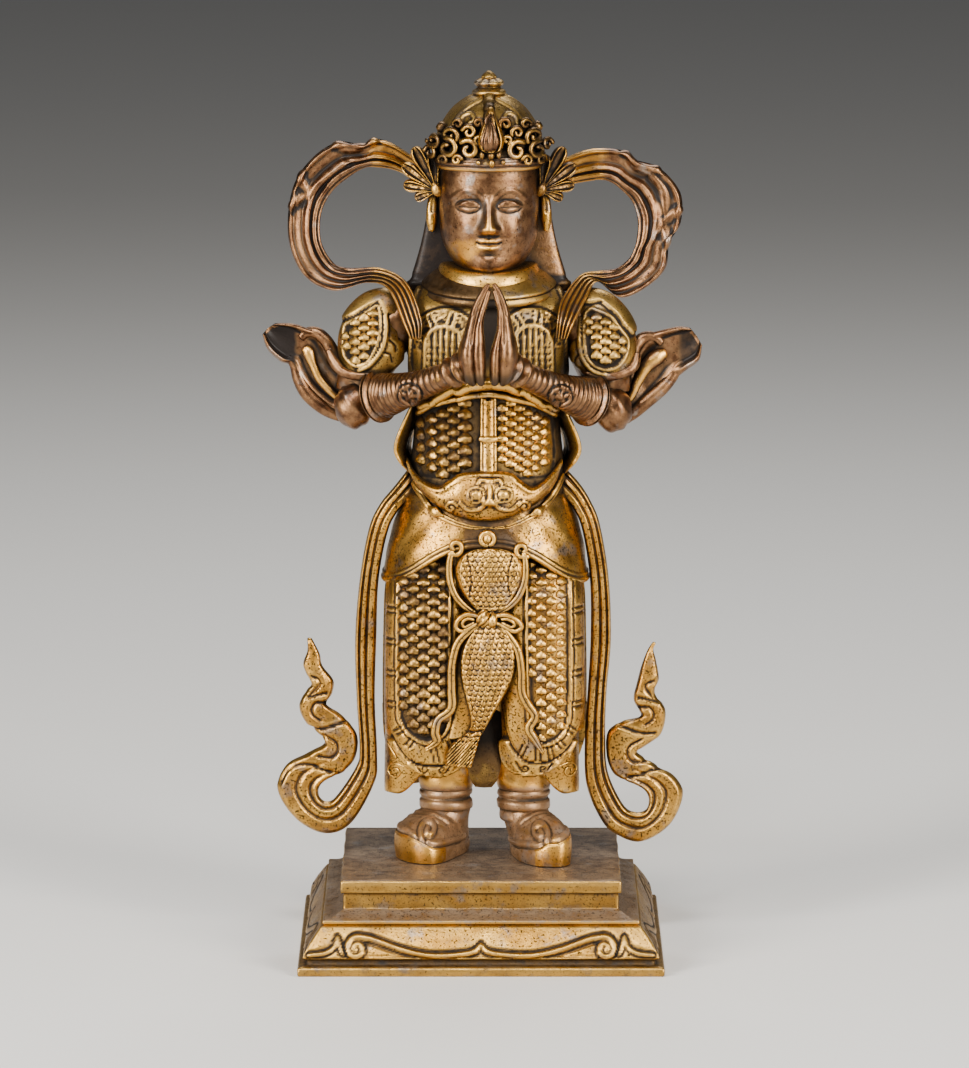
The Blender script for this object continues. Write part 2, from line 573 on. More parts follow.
def scarf():
    def gilded_near_body(x, y, z):
        return 1 - step_up(np.abs(x - BODY_X), 36, 50)
    for side, hoop, pinches in (
            ("left", LEFT_HOOP, LEFT_HOOP_PINCHES), ("right", RIGHT_HOOP, RIGHT_HOOP_PINCHES)):
        piece = band(f"{side}_scarf_hoop", hoop, HOOP_FOLDS, 3, along=180, across=28, late=HOOP_STRANDS,
                late_from=0.7)
        lines = [smooth_line(line) for line in pinches]
        def pinched(x, y, z, ways):
            d = distance_to(lines, x, z)
            return np.where(ways[:, 1] < 0.3, 0.6 * peak(d, 0, 1.3) - 0.35 * peak(d, 2.6, 1.1), 0)
        done(piece, "brown_bronze", relief=pinched, gilding=gilded_near_body)
    for side, flare, rolls in (
            ("left", LEFT_FLARE, LEFT_FLARE_ROLLS), ("right", RIGHT_FLARE, RIGHT_FLARE_ROLLS)):
        parts = [band(f"{side}_scarf_flare", flare, FLARE_FOLDS, 3.6, along=90, across=26, late=FLARE_CUP,
                late_from=0.7)]
        for number, (roll, depth) in enumerate(zip(rolls, (-3, -2.6, -3.4))):
            roll = np.asarray(roll)
            half = roll[:, 2]
            points = [[px, depth - 0.8 * math.sin(k), pz] for k, (px, pz, _) in enumerate(roll)]
            parts.append(rod(f"{side}_flare_roll_{number}", points, half, 0.85 * half, around=18, along=50))
        fold = smooth_line(np.asarray(rolls[2])[:, :2])
        rim = smooth_line([row[:2] for row in flare[4:]] + [row[2:4] for row in flare[:3:-1]])
        piece = joined(f"{side}_scarf_flare", parts)
        def gold_in_fold(x, y, z):
            return 0.1 + 0.75 * peak(distance_to([fold], x, z), 0, 2.4) * (y < -2.4)
        def dark_mouth(x, y, z):
            within = (y < 0) * (distance_to([rim], x, z) > 1.6)
            return (0.85 if side == "left" else 0.65) * step_up(np.abs(x - BODY_X), 68, 71) * within
        done(piece, "brown_bronze", gilding=gold_in_fold, soot=dark_mouth)
    for side, ribbon, flame, turned, moved in (
            ("left", LEFT_RIBBON, LEFT_FLAME, 1, (0, 0)),
            ("right", RIGHT_RIBBON, RIGHT_FLAME, -1, (1.2, -1.6))):
        rows = ribbon + flame
        flame_from = (len(ribbon) + 0.5) / len(rows)
        piece = band(f"{side}_ribbon", rows, RIBBON_FOLDS, 4, along=280, across=28, late=FLAME_FOLDS,
                late_from=flame_from)
        lines = [smooth_line(np.asarray(line) * (turned, 1) + moved) for line in FLAME_CRESCENTS]
        def lapped(x, y, z, ways):
            d = distance_to(lines, x, z)
            return np.where(ways[:, 1] < 0.3, cut(d, 0.6, 0.75) + 0.15 * peak(d, 1.8, 0.8), 0)
        done(piece, relief=lapped, soot=lambda x, y, z: 0.13 * (z < 70))
    points = [[-20, 14, 250], [-8, 21.6, 249], [HEAD_X, 23, 248.5], [14, 21.6, 249], [25, 14, 249]]
    back = rod("scarf_behind_head", points, [4.4, 4.4, 4.2, 4.4, 4.4], [1.8] * 5, face=(0, 1, 0))
    done(back, "brown_bronze")


# Robe, skirt and legs

def robe():
    rows = [
        [30, 10, 4, 8, HEM_X, 2], [29.6, 31, 10, 21, HEM_X, 2], [25, 33.4, 11.4, 22.8, HEM_X, 2],
        [22.8, 34.6, 12, 23.8, HEM_X, 2], [23.4, 35.6, 12.6, 24.2, HEM_X, 2],
        [36, 35.5, 15, 24, HEM_X, 2], [58, 35.1, 18, 23.6, 0.4, 1.6], [82, 34.4, 20, 23, 0.5, 1],
        [106, 33.4, 21, 22, 1, 0.5], [124, 30.6, 21, 20, 1.8, 0], [134, 27, 19, 17, 2, 0],
    ]
    def folds(places, angle, v):
        low = 1 - step_up(places[:, 2], 30, 118)
        behind = step_up(np.sin(angle), -0.15, 0.35)
        wave = np.abs(np.cos(angle * 7 + 0.8 * np.sin(3 * angle) + 0.3)) ** 0.8 - 0.5
        grow = 1 + 0.075 * wave * low * behind
        places[:, 0] = HEM_X + (places[:, 0] - HEM_X) * (1 + (grow - 1) * 0.45)
        places[:, 1] = 2 + (places[:, 1] - 2) * grow
        places[:, 2] += 0.9 * np.cos(angle * 7) * low ** 3 * behind
        open_front = step_up(-np.sin(angle), 0.05, 0.35) * (1 - step_up(np.abs(places[:, 0] - 0.2), 16, 31))
        places[:, 2] += 12 * open_front * (1 - step_up(places[:, 2], 24, 46))
        return places
    cloth = tree_of(done(stacked("robe", rows, around=150, along=90, square=1.2, edge=folds)))
    scrolls = {
        "left_hem_scroll": spiral(-31.3, 31.6, 3.1, 1.4, 60, 1, tail=4),
        "right_hem_scroll": spiral(32.2, 32, 3.1, 1.4, 120, -1, tail=4),
        "left_hem_curl": [[-34, 42], [-32.4, 39.4], [-31, 37], [-32.6, 35.6]],
        "right_hem_curl": [[35, 42], [33.2, 39.4], [32, 37], [33.4, 35.6]],
    }
    for name, line in scrolls.items():
        draped_rod(name, cloth, line, [0.35, 0.45, 0.3], [0.4, 0.5, 0.4], lift=0.1, around=8, along=64)


# Outlines on the thigh panels: the field that holds the mail, the border around it, and the hem's upper line
LEFT_FIELD = [
    [-29.5, 113], [-29.5, 106.3], [-29.8, 78.3], [-29.6, 57.3], [-28.5, 52.4], [-26.4, 49.2],
    [-22.9, 46.8], [-19.5, 45.7], [-16.7, 46.8], [-13, 50], [-11.5, 57], [-11.8, 85], [-11, 113],
]
LEFT_BORDER = [
    [-34, 116], [-34, 106.3], [-34.3, 78.3], [-34.1, 57.3], [-33, 51], [-30.5, 45.4], [-27.1, 40.5],
    [-22.9, 37.7], [-13.9, 37.3], [-9, 40], [-5, 46], [-3, 60], [-3, 116],
]
RIGHT_FIELD = [
    [31.7, 113], [31.7, 106.3], [32.1, 78.3], [31.7, 57.3], [30.3, 50.3], [27.6, 46.8], [24.1, 45],
    [21.3, 45.4], [18.6, 48.9], [17.3, 57], [16.6, 85], [16.6, 113],
]
RIGHT_BORDER = [
    [36.9, 116], [36.9, 106.3], [37.1, 78.3], [36.7, 57.3], [35.2, 50.3], [31.7, 44], [26.9, 39.8],
    [21.3, 38], [15.8, 39.1], [11.7, 44], [9.2, 50.3], [7.9, 60], [7.6, 116],
]
LEFT_HEM = [
    [-34, 46], [-31.6, 42.6], [-28.5, 39.2], [-25, 35.6], [-20.9, 33.2], [-16, 32.5], [-11.2, 33.6],
    [-6.3, 37], [-3, 42],
]
RIGHT_HEM = [
    [36, 48], [33.4, 43], [31, 39.8], [27.6, 36.6], [22.7, 33.6], [17.2, 32.9], [11.7, 33.9],
    [8.2, 37.2], [6.9, 44], [6.3, 60],
]


# Beside the rounded corners of the panels the hem lies below this level
HEM_TOP = 46


def thigh_panel(name, side, field, border, hem, hem_curls):
    """The mailed skirt over one thigh, with its hem below it."""
    x_foot, x_top = (-18.2, -17.4) if side == WEST else (20.8, 20.2)
    levels = [
        [31.6, 6, 17, 7, 1.35], [32, 11, 20, 10, 1.35], [34, 14.6, 22, 12.4, 1.35],
        [40, 17, 23.4, 13.6, 1.35], [48, 18.2, 24.8, 14.6, 1.35], [64, 18.6, 26, 16, 1.35],
        [88, 18.4, 26, 16, 1.3], [98, 18, 25.4, 16, 1.25], [104, 16.8, 23.6, 15, 1.15],
        [111, 14.8, 21, 14, 1], [118, 11, 17, 12, 1],
    ]
    rows = [[*row[:4], x_foot + (x_top - x_foot) * (row[0] - 33) / 83, 0] for row in levels]
    piece = stacked(name, rows, around=166, along=166, square=1.35, warp=0.42)
    rim = smooth_line(border[1:-1], 120)
    hem_line = smooth_line(hem, 80)
    field_rim = smooth_line(field, 160)
    # Engraved pairs of lines across the border, and others that fan out over the hem
    ticks = []
    for middle in (93.8, 82.3, 70.8, 59.3):
        for level in (middle - 0.95, middle + 0.95):
            outer = [border[1][0] - side * 0.4, level + side * 0.1]
            ticks.append([[field[1][0] + side * 0.7, level], outer])
    if side == WEST:
        rays = [
            ([-30.6, 49], [-27.6, 51]), ([-26.4, 44.4], [-24.6, 47]), ([-17.4, 44.6], [-16, 38.4]),
            ([-11.6, 46.4], [-8.8, 41.4]),
        ]
    else:
        rays = [
            ([33.6, 49.4], [30.4, 51.6]), ([29.6, 44], [27.2, 46.6]), ([16, 44.6], [14.2, 40.2]),
            ([20.8, 44.4], [20.6, 39]), ([24.6, 44.6], [25.6, 39.6]),
        ]
    for start, end in rays:
        start, end = np.asarray(start), np.asarray(end)
        off = np.array([end[1] - start[1], start[0] - end[0]]) / np.hypot(*(end - start)) * 0.85
        ticks += [[start + off, end + off], [start - off, end - off]]
    def relief(x, y, z, ways):
        front = ways[:, 1] < 0.15
        to_field, to_rim, to_hem = (distance_to([line], x, z) for line in (field_rim, rim, hem_line))
        in_field, on_panel = inside(field, x, z), inside(border, x, z)
        on_border, below = on_panel & ~in_field, z < np.interp(x, *hem_line[np.argsort(hem_line[:, 0])].T)
        on_hem = ~on_panel & ~below & (z < HEM_TOP)
        value = np.where(on_panel, step_up(to_rim, 0, 0.5), 0)
        value = np.where(in_field, value - 0.8 * step_up(to_field, 0.2, 0.8), value)
        value += bead(to_field, 0.75, 0.6) + np.where(on_border, cut(to_field - 1.2, 0.3, 0.4), 0)
        value += np.where(on_border, cut(to_rim - 0.9, 0.25, 0.3), 0)
        value += cut(distance_to(ticks, x, z), 0.46, 0.7)
        curled = cut(distance_to(hem_curls, x, z), 0.45, 0.7)
        value += np.where(on_hem, 0.7 * step_up(to_rim, 0.5, 1.1) + curled + bead(to_hem, 0.8, 0.3), 0)
        value -= np.where(~on_panel & (z > HEM_TOP), 1.1 * step_up(to_rim, 0, 0.8), 0)
        value -= np.where(below, 8 * step_up(to_hem, 0, 1.8), 0)
        return np.where(front, value, 0) * (1 - step_up(z, 104, 107))
    def sooty(x, y, z):
        return (0.55 if side == WEST else 0.2) * inside(field, x, z) * (y < 0) + 0.6 * step_up(z, 104, 108)
    return done(piece, relief=relief, soot=sooty)


# How full the flaps' ovals are
FLAP_SQUARE = 1.3


def hip_flaps():
    """The two flaps over the hips, rising to a point in the middle."""
    top, edge_level = 135, 102.5
    middle_x, edge_wide, edge_front, edge_behind = 1.6, 37.7, 27.6, 25
    def lifted(angle, share):
        return 15 * share * np.clip(-np.sin(angle), 0, 1) ** 4.4
    rows = [
        [136, 20, 15, 13, 2, 0], [135, 28.6, 20.6, 17.6, 2, 0], [130, 31.2, 22.6, 20, 2, 0],
        [124, 33.4, 24.2, 21.8, 2, 0], [118, 35, 25.4, 23.1, 1.9, 0], [112, 36.2, 26.4, 24, 1.7, 0],
        [106, 37.1, 27.2, 24.7, 1.6, 0], [102.6, 37.7, 27.6, 25, 1.6, 0],
        [102.4, 36.8, 26.8, 24.2, 1.6, 0], [106, 35.4, 25, 22.6, 1.6, 0], [110, 30, 20, 18, 1.6, 0],
    ]
    def edge(places, angle, v):
        places[:, 2] += lifted(angle, np.clip((top - places[:, 2]) / (top - edge_level), 0, 1))
        return places
    piece = stacked("hip_flaps", rows, around=180, along=90, square=FLAP_SQUARE, warp=0.3, edge=edge)
    def relief(x, y, z, ways):
        deep = power(y / np.where(y < 0, edge_front, edge_behind), FLAP_SQUARE)
        angle = np.arctan2(deep, power((x - middle_x) / edge_wide, FLAP_SQUARE))
        up = z - edge_level - lifted(angle, 1)
        outward = (x - middle_x) * ways[:, 0] + y * ways[:, 1] > 0
        rim = bead(up - 0.9, 0.75, 0.55) + bead(up - 2.7, 0.75, 0.5)
        dents = 0.25 * np.sin(x * 0.5 + 1) * np.sin(z * 0.45 + y * 0.3)
        return np.where(outward & (z < 134), rim + dents * step_up(up, 4, 8), 0)
    def worn_middle(x, y, z):
        return 1 - 0.7 * peak(x, 3, 11, 4) * peak(z, 122, 9, 4) * (y < 0)
    def sooty_middle(x, y, z):
        return 0.45 * peak(x, 3, 11, 4) * peak(z, 120, 9, 4) * (y < 0) + 0.3 * step_up(z, 124, 133)
    return done(piece, relief=relief, gilding=worn_middle, soot=sooty_middle)


def skirt():
    """Both thigh panels and the flaps over them, with the mail on the panels. Returns the flaps."""
    left_curls = [
        spiral(-20.6, 35.6, 1.7, 1.2, 200, 1, tail=3), spiral(-14, 35.2, 1.6, 1.2, 340, -1, tail=3),
        spiral(-27, 39.6, 1.5, 1.1, 200, 1, tail=2),
    ]
    right_curls = [
        spiral(22.6, 35.8, 1.7, 1.2, 340, -1, tail=3), spiral(16, 35.8, 1.6, 1.2, 200, 1, tail=3),
        spiral(28.6, 39.8, 1.5, 1.1, 340, -1, tail=2),
    ]
    left = thigh_panel("left_thigh_panel", WEST, LEFT_FIELD, LEFT_BORDER, LEFT_HEM, left_curls)
    left = tree_of(left)
    right = thigh_panel("right_thigh_panel", EAST, RIGHT_FIELD, RIGHT_BORDER, RIGHT_HEM, right_curls)
    right = tree_of(right)
    flaps = hip_flaps()
    over = tree_of(flaps)
    mail("left_skirt_mail", left, LEFT_FIELD, 3.72, 4.5, (1.34, 1.2), phase=1.6, dull=0.3, under=over)
    mail("right_skirt_mail", right, RIGHT_FIELD, 3.6, 4.4, (1.06, 0.85), phase=1.6, dull=0.08, under=over)
    return flaps


# The x and y of each ankle's middle
LEFT_ANKLE, RIGHT_ANKLE = (-12.9, 3), (15.6, 2.2)


def lower_robe_and_legs():
    points = [[1.4, -12, 68], [1.5, -15, 52], [1.2, -15.4, 38], [1, -14.6, 31], [0.9, -14, 27.2]]
    tail = rod("inner_robe_tail", points, [8, 7.6, 6.4, 5.2, 2.8], [2, 2, 1.9, 1.7, 1.2], around=40,
               relief=lambda angle, v: 0.4 * peak(np.abs(angle - np.pi / 2), 1.15, 0.16))
    done(tail, "dull_gilding", gilding=lambda x, y, z: 0.6 - 0.4 * step_up(z, 30, 44),
         soot=lambda x, y, z: 0.25 + 0.7 * step_up(z, 34, 50))
    for name, (x, y) in (("left_leg", LEFT_ANKLE), ("right_leg", RIGHT_ANKLE)):
        rows = [
            [12, 7.6], [13, 8.6], [16.4, 9], [17.2, 9.8], [19.6, 9.9], [20.5, 9.1], [21.4, 9.1],
            [22, 9.6], [23.3, 9.6], [24, 9.2], [24.8, 9.8], [30, 10.2], [36, 10.3], [42, 9.4],
        ]
        done(stacked(name, round_rows(rows, x, y), around=56, along=56), "boot_bronze",
             relief=lambda px, py, pz, ways: 0.2 * np.sin(pz * 0.9 + px * 0.25),
             gilding=lambda px, py, pz: 0.4 + 0.45 * step_up(pz, 24.5, 27))


LEFT_BOOT = [
    [-17.5, -21.6], [-22.4, -21.2], [-26.6, -18], [-30.4, -11.4], [-31.4, -3], [-26.6, 4.4],
    [-20, 10.6], [-13.6, 15.4], [-7.4, 15], [-4.3, 9.4], [-5.4, 1.2], [-9.6, -9.6], [-13.4, -17.6],
]
RIGHT_BOOT = [
    [25.4, -27.2], [30.4, -26.2], [32.8, -20.4], [32.2, -11], [29, -1], [25.6, 8], [20.6, 14.4],
    [14.4, 14.6], [11.1, 9.4], [10.8, -0.9], [12.2, -9.4], [14.6, -17.2], [19.4, -24.8],
]


# How far a toe rises over its sole, where the boot ends above, and the leg's radius there
TOE_RISE, BOOT_TOP, BOOT_NECK = 4.6, 17.2, 8.6
# The shares of a boot's rows at which its sole, its wall and its upper start and end
SOLE_ENDS, WALL_ENDS, UPPER_STARTS = 0.08, 0.38, 0.4


def boot(name, outline, ankle, sole_line, curl, toe_side):
    """A cloud-toed boot. sole_line gives its sole's top at x, and toe_side the x where its gilt cap ends."""
    loop = np.asarray(outline + outline[:1], float)
    closed = np.concatenate([loop[-2:-1], loop, loop[1:2]])
    sole_x, sole_z = np.asarray(sole_line, float).T
    def place(u, v):
        share = (u * (len(loop) - 1) + 1) / (len(closed) - 1)
        ground = spline(closed, share)
        middle = loop[:-1].mean(0)
        angle = np.arctan2(ground[:, 1] - ankle[1], ground[:, 0] - ankle[0])
        ring = np.asarray(ankle) + BOOT_NECK * np.stack([np.cos(angle), np.sin(angle)], 1)
        rim = np.interp(ground[:, 0], sole_x, sole_z)
        under = np.clip(v / SOLE_ENDS, 0, 1)
        wall = np.clip((v - SOLE_ENDS) / (WALL_ENDS - SOLE_ENDS), 0, 1)
        over = np.clip((v - UPPER_STARTS) / (1 - UPPER_STARTS), 0, 1)
        flat = middle + (ground - middle) * (0.3 + 0.67 * under)[:, None]
        flat = flat + (ground - middle) * (0.03 * np.sin(np.pi * wall) + 0.02 * wall)[:, None]
        inset = 0.035 * step_up(v, WALL_ENDS, 0.42)
        flat = flat + (ring - flat) * np.clip(over + inset, 0, 1)[:, None]
        z = rim * wall + TOE_RISE * (1 - (1 - over) ** 4) + (BOOT_TOP - rim - TOE_RISE) * over ** 1.7
        return np.stack([flat[:, 0], flat[:, 1], z], 1)
    piece = laid(name, 120, 84, place)
    def relief(x, y, z, ways):
        rim = np.interp(x, sole_x, sole_z)
        upper = z > rim + 0.4
        far = np.hypot(x - ankle[0], y - ankle[1])
        wrinkles = 0.25 * np.sin(far * 2.4 + 0.4 * np.sin(x)) * peak(far, 12, 3) * (z > 12.4)
        seam = cut(z - rim - 0.3, 0.5, 0.5) * (ways[:, 2] < 0.8)
        lip = bead(z - rim - 1.6, 1.2, 0.7) * (y < 0)
        d = distance_to([curl], x, z)
        curled = (bead(d, 1.1, 1.3) + cut(d - 1.4, 0.4, 0.4)) * (y < -8)
        return np.where(upper, wrinkles + curled + lip * (d > 1.6), 0) + seam
    def cap(x, y, z):
        front = (z < np.interp(x, sole_x, sole_z) + 0.2) & (y < 0)
        gilt = front & ((x - toe_side) * np.sign(toe_side) > 0)
        return np.where(gilt, 1.0, 0.26 + 0.2 * step_up(-y, 4, 16))
    return done(piece, "boot_bronze", relief=relief, gilding=cap)


def boots():
    left_sole = [[-31.4, 9.6], [-27, 9.6], [-23.1, 8.4], [-17.6, 6], [-11.6, 5.2], [-4.3, 4.4]]
    right_sole = [[10.8, 3.6], [15.4, 5], [20.9, 6.4], [24.4, 8.4], [28.4, 8.6], [32.4, 10.4]]
    left_curl = spiral(-19.1, 11.6, 3, 1.15, 200, -1, tail=3)
    right_curl = spiral(21.4, 11.4, 3, 1.15, 340, 1, tail=3)
    boot("left_boot", LEFT_BOOT, LEFT_ANKLE, left_sole, left_curl, -13)
    boot("right_boot", RIGHT_BOOT, RIGHT_ANKLE, right_sole, right_curl, 19.6)


# Trunk

def torso():
    rows = [
        [112, 24, 18, 16, 1.5, 0], [120, 30, 21, 19, 1.6, 0], [128, 28.6, 21.6, 18.5, 2, 0],
        [138, 28.2, 22.8, 17, 2.3, -1], [148, 27.6, 22, 17, 2.3, -1], [158, 26.6, 20, 17, 2.3, -1],
        [168, 26.4, 18, 17, 2.3, -1], [180, 28, 18.5, 18, 2.4, -1], [192, 31, 19, 18, 2.5, -1],
        [202, 31.4, 17.5, 17, 2.6, -1], [208, 27, 15, 15.5, 2.8, 0], [213, 18, 13, 13, 2.9, 0],
        [218, 11, 10, 11, 2.9, 0],
    ]
    piece = stacked("torso", rows, around=190, along=150, square=1.15, warp=0.4)
    bosses = [(-12.7, 190.7), (18, 191)]
    mail_edge = [
        [-21.5, 169], [-23.2, 160], [-23.6, 150], [-22, 142], [26, 142], [27, 150], [26.2, 160],
        [25, 168.4], [13, 170.8], [2, 171.6], [-9, 170.8],
    ]
    side_lines = [
        smooth_line([[-19.4, 215], [-24.6, 204], [-25.4, 190], [-24, 176]]),
        smooth_line([[25.2, 215], [30.2, 204], [31, 190], [29.8, 176]]),
    ]
    def relief(x, y, z, ways):
        front = ways[:, 1] < 0
        value = np.zeros(len(x))
        for at_x, at_z in bosses:
            # Round above its middle, and straight below it
            r = np.hypot(x - at_x, np.maximum(z - at_z, 0))
            turn = np.degrees(np.arctan2(z - at_z, x - at_x))
            dome = 2.4 * np.clip(1 - (r / 12.6) ** 2, 0, 1) ** 0.5
            ring = bead(r - 6.5, 0.75, 0.8) + bead(r - 12.2, 0.6, 0.6)
            bars = np.abs(np.sin((x - at_x) / 2.1 * np.pi))
            beads = 0.55 + 0.45 * np.abs(np.sin(z / 1.15 * np.pi))
            bars = np.where(r < 5.8, 0.75 * bars * beads - 0.35, 0)
            off_ray = (turn - 30 + 22.5) % 45 - 22.5
            aside = np.abs(np.sin(np.radians(off_ray))) * r
            rays = np.where((r > 7.4) & (r < 11.6), bead(aside - 1.05, 0.6, 0.7) - 0.25, 0)
            dots = 0.2 * np.cos((r - 9.6) * 3.4) * np.cos(np.radians(turn - 52.5) * 16)
            buds = np.where((r > 8) & (r < 11.2), dots, 0)
            crest = (rays + buds * (aside > 1.8)) * (z > at_z - 2)
            value += np.where((r < 13) & (z > at_z - 16), dome + ring + bars + crest, 0)
        value += bead(distance_to(side_lines, x, z), 0.8, 0.7)
        value -= np.where(inside(mail_edge, x, z), 0.5, 0)
        return np.where(front, value, 0)
    def sooty(x, y, z):
        between_hands = peak(x, 3.3, 5, 4) * peak(z, 197, 16, 4)
        waist = 0.6 * ((z < 142) | (np.abs(x - 2) > 24) & (z < 170))
        ground = (0.55 - 0.4 * (x > 2.7)) * inside(mail_edge, x, z)
        return ground * (y < 0) + 0.95 * between_hands * (y < 0) + waist
    return done(piece, "dull_gilding", relief=relief, soot=sooty,
                gilding=lambda x, y, z: 1 - 0.2 * step_up(z, 172, 182))


def draped_rod(name, tree, line, wide, thick, lift=0.0, **shape):
    """A rod that lies on a piece, in line with flat x and z points as seen from the front."""
    found = [seen_from_front(tree, x, z) for x, z in smooth_line(line, 24)]
    spots = [list(hit[0] + hit[1] * lift) for hit in found if hit]
    ways = [list(hit[1]) for hit in found if hit]
    return done(rod(name, spots, wide, thick, face=ways, **shape))


def two_beads(angle, v):
    """A groove along the front of a rod, which leaves a bead on each side."""
    return -0.5 * peak(angle, np.pi / 2, 0.32)


def chest_straps(tree):
    line = [
        [-22, 166], [-15.3, 170.7], [-8.2, 174.9], [3.1, 176.4], [11.9, 175.4], [19.6, 170.2],
        [27.5, 165.5],
    ]
    draped_rod("under_breast_roll", tree, line, [1.6, 2.1, 2.3, 2.1, 1.6], [1.6, 2, 2.2, 2, 1.6],
               lift=1.2, around=20)
    line = [
        [-23, 163.6], [-15.3, 169.1], [-8.2, 171.2], [2.1, 172.5], [9.3, 171.7], [17.5, 169.4],
        [27.4, 163],
    ]
    draped_rod("mail_edge_roll", tree, line, [1.2, 1.3, 1.3, 1.3, 1.2], [1.2, 1.4, 1.4, 1.4, 1.2],
               lift=0.9, around=16)
    line = [[2.7, 172], [2.7, 158], [2.7, 144]]
    draped_rod("mail_strap", tree, line, [2.9, 3, 3.1], [2.4, 2.4, 2.4], lift=0.8, around=64,
               relief=lambda angle, v: -0.7 * peak(np.abs(angle - np.pi / 2), 0.95, 0.16))
    line = [[-0.8, 156.4], [2.7, 156], [6.2, 156.4]]
    draped_rod("strap_keeper_156", tree, line, [0.8, 1.5, 0.8], [0.7, 1.3, 0.7], lift=2.6, around=16,
               along=20)


def belt(tree):
    """The belt under the belly plate, with a small leaf on each side."""
    line = [
        [-26, 142], [-22.4, 136.4], [-17.7, 130.8], [-11, 127], [-4, 125], [2, 124.6], [9, 125],
        [15, 127], [21.6, 130.8], [26.4, 136.4], [29.6, 142],
    ]
    wide = [1.2, 1.4, 1.3, 0.8, 0.4, 0.8, 1.3, 1.4, 1.2]
    thick = [1.2, 1.5, 1.2, 0.5, 0.3, 0.5, 1.2, 1.5, 1.2]
    draped_rod("belt", tree, line, wide, thick, lift=0.2, around=20, along=110, relief=two_beads)
    leaves = {
        "left": [[-18.6, 131.4], [-15.9, 129.6], [-13, 128.2]],
        "right": [[22.6, 131.4], [20, 129.6], [17.1, 128.2]],
    }
    for name, leaf in leaves.items():
        draped_rod(f"belt_leaf_{name}", tree, leaf, [0.3, 1.9, 0.3], [0.4, 1.6, 0.4], lift=1.8,
                   around=20, along=24)


# One scale of mail seen from above. Each ring holds an outline from the right round, and its height
HOODED_SCALE = [
    ([2.1, 1.95, 1.85, 1.9, 2.0, 1.9, 1.85, 1.95, 2.1, 2.1, 1.8, 1.7, 2.0, 1.7, 1.8, 2.1], [-0.35] * 16),
    ([2.0, 1.85, 1.75, 1.8, 1.9, 1.8, 1.75, 1.85, 2.0, 2.0, 1.3, 1.15, 1.4, 1.15, 1.3, 2.0],
     [0.3] * 9 + [0.3, 0.5, 0.5, 0.45, 0.5, 0.5, 0.3]),
    ([1.75, 1.6, 1.45, 1.45, 1.5, 1.45, 1.45, 1.6, 1.75, 1.75, 0.85, 0.55, 0.8, 0.55, 0.85, 1.75],
     [0.95, 0.85, 0.75, 0.7, 0.7, 0.7, 0.75, 0.85, 0.95, 0.95, 1.25, 1.35, 1.3, 1.35, 1.25, 0.95]),
    ([0.8] * 9 + [0.8, 0.5, 0.3, 0.4, 0.3, 0.5, 0.8], [1.25] * 9 + [1.3, 1.5, 1.5, 1.5, 1.5, 1.5, 1.3]),
]


def stud(name, size, tall):
    """One small scale of mail. Its foot is kept sooty and its top clean."""
    outlines, heights = (np.array(part) for part in zip(*HOODED_SCALE))
    around, last = outlines.shape[1], len(HOODED_SCALE) + 1
    outlines = np.pad(outlines, ((1, 1), (0, 0))) * size
    heights = np.concatenate([heights[:1], heights, [[heights[-1].max() + 0.1] * around]]) * tall
    def place(u, v):
        column, row = np.rint(u * around).astype(int) % around, np.rint(v * last).astype(int)
        angle = 2 * np.pi * u
        reach, z = outlines[row, column], heights[row, column] - SOLE_LEVEL
        return np.stack([reach * np.cos(angle), reach * np.sin(angle), z], 1)
    piece = laid(name, around, last, place)
    mark(piece, "soot", 0.9 - 0.9 * step_up(read(piece)[:, 2] + SOLE_LEVEL, -0.2 * tall, 0.2 * tall))
    return piece


# How far the middles of scales keep from their field's rim
RIM_KEPT_FREE = 1.2


def mail(name, tree, field, wide, tall, scale, phase=0.0, finish="worn_gilding", dull=0.0, under=None):
    """Scales in columns within a field, each column half a scale up from the next, but not under a piece.
    scale gives their size and height, and wide and tall how far apart they are."""
    field = np.asarray(field, float)
    low, high = field.min(0), field.max(0)
    rim = np.concatenate([field, field[:1]])
    spots = []
    for column, x in enumerate(np.arange(low[0] + phase, high[0], wide)):
        for z in np.arange(low[1] - tall + (column % 2) * tall / 2, high[1] + tall, tall):
            here = np.array([x]), np.array([z])
            if not inside(field, *here)[0] or distance_to([rim], *here)[0] < RIM_KEPT_FREE:
                continue
            found = seen_from_front(tree, x, z)
            cover = None if under is None else seen_from_front(under, x, z)
            if found is None or cover is not None and cover[0].y < found[0].y:
                continue
            uneven = 0.97 + 0.06 * math.sin(x * 7 + z * 3)
            spots.append((found[0], found[1], uneven))
    piece = spread(name, stud(name, *scale), spots)
    mark(piece, "soot", np.maximum(marked(piece, "soot"), dull))
    return done(piece, finish, angle=35, gilding=lambda x, y, z: 1 - 1.2 * dull)


def belly_mail(tree):
    left = [
        [-22.4, 167], [-23.4, 158], [-23.4, 148], [-20, 140.4], [-12, 139], [-6, 144], [-0.6, 146],
        [-0.6, 171], [-8, 170.4], [-15, 168.6],
    ]
    right = [
        [6.2, 146], [12, 143.4], [20, 142], [27, 145], [26.8, 156], [25.6, 165], [17.5, 168.8],
        [6.2, 171.4],
    ]
    mail("belly_mail_left", tree, left, 4.0, 4.3, (1.4, 1.15), phase=1.7, dull=0.3)
    mail("belly_mail_right", tree, right, 3.1, 3.6, (1.12, 0.8), phase=1.4)


# Belly plate with its beast mask, and the apron under it. Both have their middle at this x

FRONT_X = 3.2


